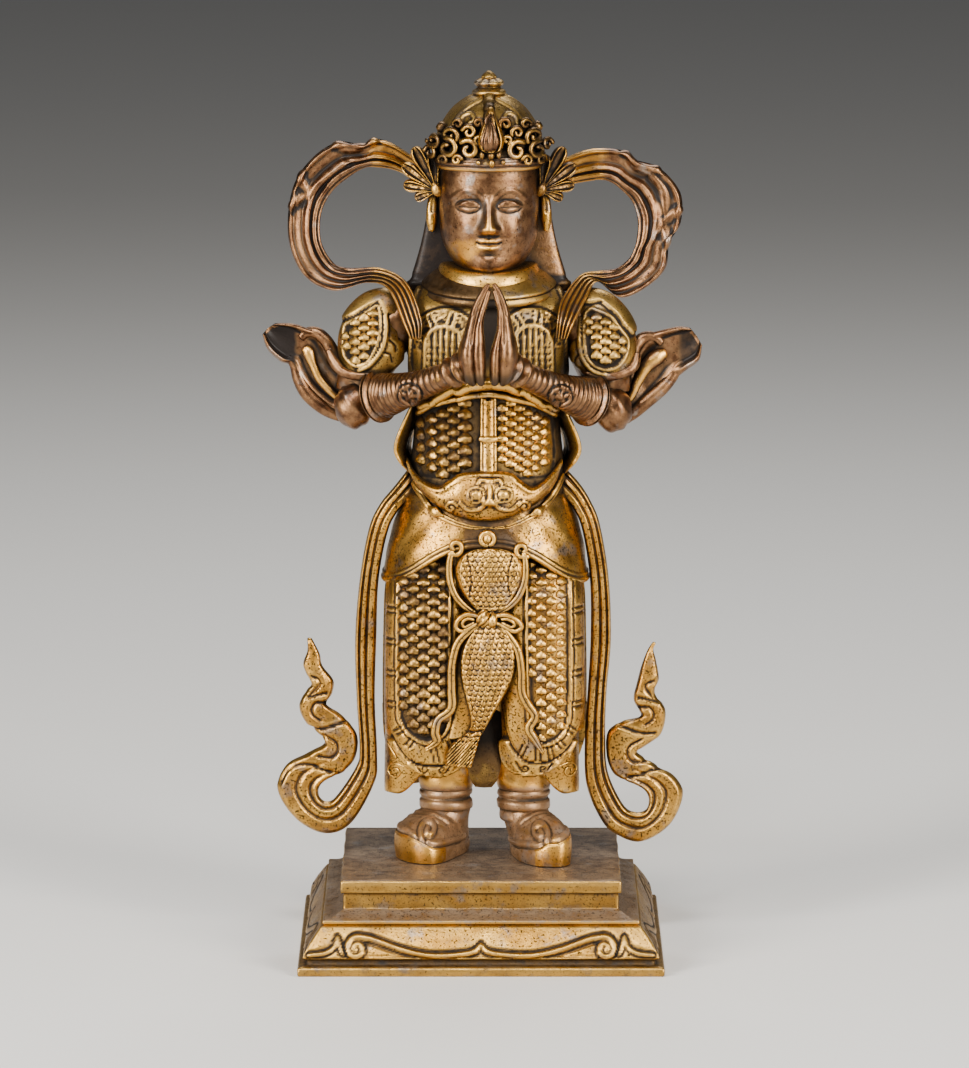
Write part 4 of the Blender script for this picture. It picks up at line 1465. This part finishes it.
def crown():
    rim = [[252.8, 17], [253.2, 19.4], [254.4, 20.1], [256.4, 20.7], [258.4, 20.4], [258.8, 18]]
    piece = stacked("crown_rim", round_rows(rim, HEAD_X, HEAD_Y), around=140, along=24)
    done(piece, "brown_bronze", gilding=lambda x, y, z: 0.3 + 0.65 * (1 - step_up(z, 253.8, 254.6)),
         relief=lambda x, y, z, ways: sum(cut(z - level, 0.35, 0.4) for level in (254.9, 256.4, 257.6)))
    # Scrolls: x and z of the middle, radius, where they start in degrees, and their way round
    scrolls = [
        (-12.1, 261.9, 3.1, 90, -1), (-4.5, 261.8, 3.1, 130, -1), (-11.1, 266.9, 2.5, 330, 1),
        (-4.2, 268.4, 2.1, 150, -1), (-17, 264.4, 2.2, 200, 1), (13, 261.2, 3.1, 60, 1),
        (20.4, 260.9, 2.7, 90, 1), (19.2, 266.2, 2.6, 210, -1), (13, 268.2, 1.9, 200, -1),
        (8.8, 271.6, 1.9, 200, -1), (-1, 272, 1.5, 340, 1), (-8.2, 271.4, 1.5, 200, -1),
        (16, 271.2, 1.6, 340, 1), (-18.2, 259.2, 2, 160, -1), (24, 262.6, 1.6, 20, 1),
        (-8.6, 257.6, 1.5, 20, 1), (-13.4, 257.2, 1.4, 200, -1), (16.6, 257.2, 1.6, 160, -1),
        (21.6, 257, 1.3, 20, 1), (9.2, 265.6, 1.4, 300, 1), (-0.6, 265.6, 1.4, 240, -1),
    ]
    parts = []
    for cx, cz, r, start, hand in scrolls:
        cz = 257 + 0.92 * (cz - 257)
        line = spiral(cx, cz, 1.16 * r, 1.15, start, hand, tail=1.3)[::4]
        out = 21.4 - 0.36 * max(0, cz - 264)
        thick = 0.6 + 0.16 * r
        points = [[px, on_brow(px, out) - 0.03 * k, pz] for k, (px, pz) in enumerate(line)]
        parts.append(rod("scroll", points, [thick, thick, 0.8 * thick], [2.2, 2, 1.3], around=12, along=32,
                         relief=lambda angle, v: -0.3 * peak(angle, np.pi / 2, 0.35)))
    # Buds between them: x, z and half width
    buds = [
        (0.4, 259.6, 1), (3.6, 259.4, 1.3), (6.4, 259.6, 1), (-1, 256.8, 0.9), (3.9, 256.6, 1.2),
        (8, 256.8, 0.9), (-14.2, 268.2, 2.1), (20.3, 268.4, 2.1), (12.2, 264.9, 1), (-7.9, 264.8, 1),
    ]
    for cx, cz, half in buds:
        out = 22 - 0.5 * max(0, cz - 262)
        tall = 1.9 if half > 0.95 and cz < 260 else half
        ends = ((-tall, 0.6), (0, 0), (tall, 0.6))
        points = [[cx, on_brow(cx, out - back), cz + up] for up, back in ends]
        parts.append(rod("bud", points, [0.3, half, 0.3], [0.3, half, 0.3], around=12, along=14))
    done(joined("crown_scrolls", parts), gilding=lambda x, y, z: 0.62 - 0.15 * step_up(z, 266, 271),
         soot=lambda x, y, z: 0.3 * step_up(y, -21, -17))
    flame = [[3.6 - w, z, 3.6 + w, z, y] for w, z, y in
             ((1.6, 260.4, -22.4), (3.9, 261.6, -22.8), (4.8, 264.4, -22.8), (4.3, 267.4, -22),
             (3, 270.6, -20.6), (1.9, 273.4, -18.8), (0.7, 276.4, -16.6))]
    folds = [[0, 0], [0.12, 1.1], [0.26, -0.5], [0.5, -0.4], [0.74, -0.5], [0.88, 1.1], [1, 0]]
    done(band("crown_flame", flame, folds, 3.2, along=60, across=34, back=0))
    line = [
        [3.4, -23.6, 261.7], [3.3, -24.8, 263], [3.2, -25, 265], [3.2, -24.4, 267.4], [3.1, -23, 270],
        [2.6, -21.4, 272], [3.8, -19.8, 274],
    ]
    wide, thick = [1.2, 2.9, 3.2, 2.5, 1.5, 1, 0.5], [1, 2.1, 2.3, 1.8, 1.3, 1, 0.5]
    done(rod("crown_jewel", line, wide, thick, around=60, along=50,
             relief=lambda angle, v: 0.28 * np.cos(angle * 8 + 4 * v)), "brown_bronze")


def ear_fans():
    # Each petal's direction in degrees, length and width
    petals = [(97, 13.2, 5.2), (118, 17.6, 5.6), (144, 15.4, 5.4), (172, 12.2, 4.8), (203, 8.6, 4)]
    folds = [[0, 0], [0.16, 1.4], [0.34, -1.5], [0.5, -1.6], [0.66, -1.5], [0.84, 1.4], [1, 0]]
    for side, name in SIDES:
        parts = []
        for degrees, length, wide in petals:
            angle = math.radians(degrees)
            way = np.array([math.cos(angle), math.sin(angle)])
            across = np.array([math.sin(angle), -math.cos(angle)])
            rows = []
            for far, share in ((0.05, 0.4), (0.3, 0.5), (0.5, 0.75), (0.72, 1), (0.88, 0.9), (0.97, 0.5),
                    (1.0, 0.1)):
                edges = [way * length * far + across * wide / 2 * half for half in (share, -share)]
                row = [place for a, b in edges for place in (HEAD_X + side * (18.9 - a), 245 + b)]
                rows.append(row + [-4.8 - 0.3 * length * far * math.cos(angle)])
            parts.append(band("petal", rows, folds, 2.8, along=30, across=16, back=0))
        line = [
            [HEAD_X + side * 17.4, -5, 243], [HEAD_X + side * 19, -5.6, 245.4],
            [HEAD_X + side * 20, -5, 248],
        ]
        parts.append(rod("fan_root", line, [1, 2, 1], [1, 1.8, 1], along=20))
        done(joined(f"{name}_ear_fan", parts), gilding=lambda x, y, z: 0.95 if side == WEST else 0.55)


def neck_guard():
    rows = [
        [213, 18, 2, 11], [208.6, 27.6, 3.4, 15], [207.6, 29.4, 4, 16.2], [208.8, 29.8, 4.2, 16.8],
        [214, 27.6, 4, 17], [226, 24.2, 3, 18.5], [240, 21.8, 2, 19.2], [254, 20.2, 1, 19.4],
        [258, 17, 1, 17],
    ]
    piece = stacked("neck_guard", [[*row, HEAD_X, 2] for row in rows], around=90, along=60, square=1.2)
    def relief(x, y, z, ways):
        hem = bead(z - 210.4, 0.8, 0.6) + cut(z - 212.4, 0.4, 0.4)
        pleats = 0.3 * np.cos(np.arctan2(y - 2, x - HEAD_X) * 16) * (1 - step_up(z, 216, 250))
        return np.where(z > 208, hem + pleats, 0)
    done(piece, "brown_bronze", relief=relief, soot=lambda x, y, z: 0.75 - 0.55 * step_up(x, -2, 8),
         gilding=lambda x, y, z: 0.12 + 0.3 * step_up(x, 8, 16) + 0.5 * (1 - step_up(z, 209, 213)))


def collar():
    def lowered(depth):
        return lambda angle, v: depth * np.sin(angle)
    rows = [
        [209, 20, 16, 13], [208, 23.6, 19.4, 15.4], [208.6, 24.4, 21, 16], [211, 24.6, 22.6, 16.6],
        [213.8, 22, 20.6, 16.2], [217, 17.6, 17, 15], [218, 13, 13, 12],
    ]
    cloth = stacked("gorget", centred(rows, HEAD_X), around=110, along=56, lift=lowered(3.6))
    def rolled(x, y, z, ways):
        up = z - 208.6 - 3.6 * np.sin(np.arctan2(y / 21, (x - HEAD_X) / 24))
        return bead(up, 1.1, 0.9) + cut(up - 1.7, 0.5, 0.6)
    def sooty(x, y, z):
        return 0.95 * peak(x, 3.4, 3.6, 4) * peak(z, 195, 16, 4) * (y < 0) + 0.35 * (1 - step_up(x, -2, 3))
    done(cloth, "dull_gilding", relief=rolled, soot=sooty,
         gilding=lambda x, y, z: 0.3 + 0.7 * step_up(x, 2, 8))
    rows = [
        [210.6, 13, 13.4, 11], [211, 16.6, 17.4, 13.4], [213, 18.4, 19.2, 14.8], [215.6, 18.6, 19, 15],
        [218.4, 17, 17, 13.6], [219, 12, 12, 10],
    ]
    done(stacked("neck_ring", centred(rows, HEAD_X), around=96, along=36, lift=lowered(2.2)))


# Stage, camera and light

# Soft boxes: place, width and height in metres, power in watts and tint
SOFT_BOXES = {
    "left_soft_box": ((-1.1, -1.1, 0.7), (0.45, 1.0), 48, (1, 0.97, 0.93)),
    "right_soft_box": ((1.1, -1.15, 0.65), (0.45, 1.0), 44, (1, 0.96, 0.9)),
    "front_top_soft_box": ((-0.15, -1.2, 1.5), (0.5, 0.3), 25, (0.96, 0.97, 1)),
    "back_soft_box": ((0.1, 0.9, 1.3), (0.9, 0.4), 10, (0.93, 0.96, 1)),
}
LIGHTS_AIM = Vector((0, 0, 0.17))
# The camera looks down on its aim by its pitch, from this far away in metres
CAMERA_AIM, CAMERA_AWAY, CAMERA_PITCH = Vector((0.00128, 0, 0.1508)), 2.705, math.radians(8.8)
SENSOR_HEIGHT, CAMERA_LENS = 36, 250
FLOOR_RADIUS = 14


def studio():
    clear()
    bpy.ops.mesh.primitive_circle_add(vertices=96, radius=FLOOR_RADIUS, fill_type="NGON")
    floor = bpy.context.object
    floor.name = "studio_floor"
    floor.data.materials.append(painted_floor())
    world = bpy.data.worlds.new("studio")
    bpy.context.scene.world = world
    world.use_nodes = True
    world.node_tree.nodes["Background"].inputs["Color"].default_value = (0.8, 0.83, 0.88, 1)
    world.node_tree.nodes["Background"].inputs["Strength"].default_value = 0.1
    for name, (place, size, watts, tint) in SOFT_BOXES.items():
        bpy.ops.object.light_add(type="AREA", location=place)
        light = bpy.context.object
        light.name = name
        light.data.shape = "RECTANGLE"
        light.data.size, light.data.size_y = size
        light.data.energy = watts
        light.data.color = tint
        light.rotation_euler = (LIGHTS_AIM - Vector(place)).to_track_quat("-Z", "Y").to_euler()
    place = CAMERA_AIM + CAMERA_AWAY * Vector((0, -math.cos(CAMERA_PITCH), math.sin(CAMERA_PITCH)))
    bpy.ops.object.camera_add(location=place, rotation=(math.pi / 2 - CAMERA_PITCH, 0, 0))
    camera = bpy.context.object
    camera.data.sensor_fit = "VERTICAL"
    camera.data.sensor_height = SENSOR_HEIGHT
    camera.data.lens = CAMERA_LENS
    camera.data.clip_end = 3 * FLOOR_RADIUS
    bpy.context.scene.camera = camera


# Finishes

def hexed(code):
    """An sRGB hex value as linear colour."""
    parts = [int(code[k:k + 2], 16) / 255 for k in (0, 2, 4)]
    return tuple(p / 12.92 if p <= 0.04045 else ((p + 0.055) / 1.055) ** 2.4 for p in parts) + (1.0,)


def add_node(material, kind, settings=None, **inputs):
    """Adds a node with its settings, and sets or links its inputs."""
    made = material.node_tree.nodes.new(kind)
    for key, value in (settings or {}).items():
        setattr(made, key, value)
    for key, value in inputs.items():
        socket = (made.inputs[int(key[1:])] if key[0] == "n" and key[1:].isdigit()
                else made.inputs[key.replace("_", " ")])
        if isinstance(value, bpy.types.NodeSocket):
            material.node_tree.links.new(value, socket)
        else:
            socket.default_value = value
    return made


def painted_floor():
    material = bpy.data.materials.new("matt_paper_floor")
    material.use_nodes = True
    surface = material.node_tree.nodes["Principled BSDF"]
    surface.inputs["Base Color"].default_value = hexed("D9D6D0")
    surface.inputs["Roughness"].default_value = 0.85
    return material


def ramp(material, value, stops):
    """A ramp over a value, between two stops of place and brightness."""
    made = add_node(material, "ShaderNodeValToRGB", Fac=value)
    for element, (place, tone) in zip(made.color_ramp.elements, stops):
        element.position = place
        element.color = (tone, tone, tone, 1)
    return made.outputs["Color"]


def gilt_bronze(name, gold, pale_gold, bronze, dark_bronze, soot, gloss, pitted, lacquer, patina=0.0):
    """Fire-gilt cast bronze. Where the gilding attribute is low the gold has worn through to the bronze."""
    material = bpy.data.materials.new(name)
    material.use_nodes = True
    surface = material.node_tree.nodes["Principled BSDF"]
    place = add_node(material, "ShaderNodeTexCoord").outputs["Object"]

    def noise(size_mm, detail, rough=0.55):
        made = add_node(material, "ShaderNodeTexNoise", Vector=place, Scale=1 / (size_mm * MM),
                Detail=detail, Roughness=rough)
        return made.outputs["Fac"]

    def mixed(share, a, b):
        made = add_node(material, "ShaderNodeMix", {"data_type": "RGBA"}, n0=share, n6=a, n7=b)
        return made.outputs[2]

    def worked(kind, a, b):
        made = add_node(material, "ShaderNodeMath", {"operation": kind, "use_clamp": True}, n0=a, n1=b)
        return made.outputs[0]

    def kept(attribute):
        return add_node(material, "ShaderNodeAttribute", {"attribute_name": attribute}).outputs["Fac"]

    grime, left, rubbed = kept("grime"), kept("gilding"), kept("rubbed")
    # Sizes in millimetres. Casting grain is finer than this, and is drawn coarser so that it shows
    clouds, patches, specks, grains = noise(13, 3), noise(4.2, 7, 0.66), noise(0.8, 3, 0.6), noise(0.35, 2)
    tone = worked("ADD", ramp(material, clouds, [(0.4, 0), (0.62, 0.6)]), worked("MULTIPLY", rubbed, 0.6))
    gilt = mixed(tone, hexed(gold), hexed(pale_gold))
    metal = mixed(ramp(material, patches, [(0.38, 0), (0.62, 1)]), hexed(dark_bronze), hexed(bronze))
    # The gold is lost first where the patches are high and where the attribute is low
    cover = worked("SUBTRACT", worked("ADD", left, 0.14), worked("MULTIPLY",
            worked("SUBTRACT", patches, 0.1), 1.05))
    shown = ramp(material, worked("ADD", worked("MULTIPLY", cover, 0.7), worked("MULTIPLY", specks, 0.3)),
            [(0.28, 0), (0.5, 1)])
    colour = mixed(shown, metal, gilt)
    # Cool grey bloom, in a few soft patches
    bloom = ramp(material, noise(8, 4, 0.6), [(0.58, 0), (0.68, 0.7)])
    colour = mixed(bloom, colour, hexed("857A70"))
    pits = ramp(material, worked("SUBTRACT", specks, worked("MULTIPLY", rubbed, 0.06)),
            [(0.585 - pitted, 0), (0.635 - pitted, 0.92)])
    colour = mixed(pits, colour, hexed(soot))
    # Thin brown dirt first, then black in the deepest hollows
    uneven = worked("ADD", grime, worked("MULTIPLY", worked("SUBTRACT", patches, 0.46), 0.8))
    colour = mixed(ramp(material, uneven, [(0.1, 0), (0.5, 0.8)]), colour, hexed("54402A"))
    dirt = ramp(material, uneven, [(0.34, 0), (0.8, 0.97)])
    colour = mixed(dirt, colour, hexed(soot))
    rough = worked("ADD", ramp(material, patches, [(0.3, gloss), (0.75, gloss + 0.16)]),
            worked("MULTIPLY", worked("ADD", dirt, pits), 0.3))
    grain = worked("ADD", worked("MULTIPLY", specks, 0.6), worked("ADD", worked("MULTIPLY", patches, 0.5),
            worked("MULTIPLY", grains, 0.15)))
    bump = add_node(material, "ShaderNodeBump", Strength=0.5, Distance=0.3 * MM, Height=grain)
    links = material.node_tree.links
    links.new(colour, surface.inputs["Base Color"])
    links.new(rough, surface.inputs["Roughness"])
    links.new(bump.outputs["Normal"], surface.inputs["Normal"])
    bare = worked("MULTIPLY", worked("SUBTRACT", 1.0, shown), patina)
    shine = worked("SUBTRACT", worked("SUBTRACT", 1.0, worked("MULTIPLY", dirt, 0.25)), bare)
    links.new(shine, surface.inputs["Metallic"])
    surface.inputs["Coat Weight"].default_value = lacquer
    surface.inputs["Coat Roughness"].default_value = 0.3
    return material


# Gold, pale gold, bronze, dark bronze, soot, gloss, how pitted it is, and its lacquer and dull patina
FINISHES = {
    # Fire gilding over cast bronze: warm gold, rubbed thin, with fine dark pits and sooty hollows
    "worn_gilding": ("A67630", "DDAB52", "75522B", "4A321B", "140D07", 0.27, 0.045, 0.0),
    # The same on the chest and shoulders, dulled to an olive brown by age
    "dull_gilding": ("937338", "BC9650", "6B5130", "3E2E1A", "120C07", 0.34, 0.0, 0.0),
    # Bronze with its gilding mostly gone: copper brown, smooth, with patches of gold
    "brown_bronze": ("AE7A32", "D6A24E", "8A6544", "553823", "0E0705", 0.28, -0.03, 0.12),
    # The boots' uppers: bare bronze gone dull and grey brown, with gold left on the toe caps
    "boot_bronze": ("AE7A32", "DCA850", "9E7A56", "7C5D3F", "140D07", 0.32, -0.01, 0.0, 0.32),
    # Gilding on the plinth, thinner and browner
    "plinth_gilding": ("9C702C", "CDA04E", "857058", "625040", "140E08", 0.33, 0.01, 0.0, 0.5),
}


# How much dirt engraved lines and gaps between pieces gather, where it isn't all of it
GRIME_SHARES = {
    "plinth_gilding": (0.3, 0.12), "left_boot": (0.55, 0.2), "right_boot": (0.55, 0.2),
    "left_leg": (0.8, 0.4), "right_leg": (0.8, 0.4),
    "left_thigh_panel": (0.75, 0.5), "right_thigh_panel": (0.75, 0.4), "hip_flaps": (0.8, 0.6),
    "left_hand": (0.6, 0.6), "right_hand": (0.6, 0.6), "left_ribbon": (0.75, 0.8),
    "right_ribbon": (0.75, 0.8),
}


def grime_of(pieces, voxel=0.8, margin=12):
    """Marks each vertex by how much of the figure stands close before it, so that dirt gathers there."""
    places, ways, areas = [], [], []
    for piece in pieces:
        places.append(read(piece))
        ways.append(normals(piece))
        flat = np.empty(len(piece.data.polygons))
        piece.data.polygons.foreach_get("area", flat)
        loops = np.empty(len(piece.data.polygons), int)
        piece.data.polygons.foreach_get("loop_total", loops)
        corner = np.empty(len(piece.data.loops), int)
        piece.data.loops.foreach_get("vertex_index", corner)
        areas.append(np.bincount(corner, np.repeat(flat / loops, loops), len(places[-1])) / MM ** 2)
    every, area = np.concatenate(places), np.minimum(np.concatenate(areas), 9.0)
    low = every.min(0) - margin
    shape = np.ceil((every.max(0) + margin - low) / voxel).astype(int)
    cell = ((every - low) / voxel).astype(int)
    index = np.ravel_multi_index(cell.T, shape)
    room = np.bincount(index, area, shape.prod()).reshape(shape).astype(np.float32)

    def softened(grid, reach):
        """The grid averaged over cubes that reach this many cells."""
        for axis in range(3):
            for _ in range(2):
                padding = [(reach + 1, reach) if k == axis else (0, 0) for k in range(3)]
                total = np.cumsum(np.pad(grid, padding), axis=axis)
                here, window = np.arange(grid.shape[axis]), 2 * reach + 1
                grid = (np.take(total, here + window, axis=axis) - np.take(total, here, axis=axis)) / window
        return grid

    near, far = softened(room, 1), softened(room, 5)
    for piece, spots, way in zip(pieces, places, ways):
        def felt(grid, off):
            at = np.clip(((spots + way * off - low) / voxel).astype(int), 0, shape - 1)
            return grid[at[:, 0], at[:, 1], at[:, 2]]
        depth = hollow_depth(piece, spots, way)
        # Metal felt 1.5 mm and 6 mm out from the surface
        close = np.clip((felt(near, 1.5) - 0.15) / 0.32, 0, 1)
        broad = np.clip((felt(far, 6.0) - 0.055) / 0.15, 0, 1)
        # Scales stand so close that all of them would count as hollows, and plinth and boots are open
        lines, gaps = GRIME_SHARES.get(piece.name, GRIME_SHARES.get(piece["finish"], (1.0, 1.0)))
        if "_mail" in piece.name:
            lines, gaps = 0.35, 0.35
        clean = ((1 - lines * np.clip(depth / 0.2, 0, 1)) * (1 - 0.7 * gaps * close)
                * (1 - 0.6 * gaps * broad))
        clean = clean * (1 - marked(piece, "soot"))
        mark(piece, "grime", 1 - clean)
        mark(piece, "rubbed", np.clip(-depth / 0.16 - 0.15, 0, 1) * (1 - 0.7 * broad))


def hollow_depth(piece, places, ways, rounds=4):
    """How far each vertex lies below the piece's own smoothed form, in millimetres."""
    ends = np.empty(len(piece.data.edges) * 2, int)
    piece.data.edges.foreach_get("vertices", ends)
    a, b = ends.reshape(-1, 2).T
    total = len(places)
    neighbours = np.maximum(np.bincount(a, minlength=total) + np.bincount(b, minlength=total), 1)
    soft = places
    for _ in range(rounds):
        sums = [np.bincount(a, soft[b, k], total) + np.bincount(b, soft[a, k], total) for k in range(3)]
        soft = np.stack(sums, 1)
        soft = soft / neighbours[:, None]
    return ((soft - places) * ways).sum(1)


plinth()
scarf()
robe()
flaps = skirt()
lower_robe_and_legs()
boots()
trunk = torso()
trunk_tree = tree_of(trunk)
belly_mail(trunk_tree)
chest_straps(trunk_tree)
belt(tree_of(trunk, flaps))
belly_plate()
apron()
waist_folds()
arms()
shoulder_guards()
hands()
head()
helmet()
crown()
ear_fans()
neck_guard()
collar()
studio()
grime_of(finished)
made = {name: gilt_bronze(name, *values) for name, values in FINISHES.items()}
for piece in finished:
    piece.data.materials.clear()
    piece.data.materials.append(made[piece["finish"]])
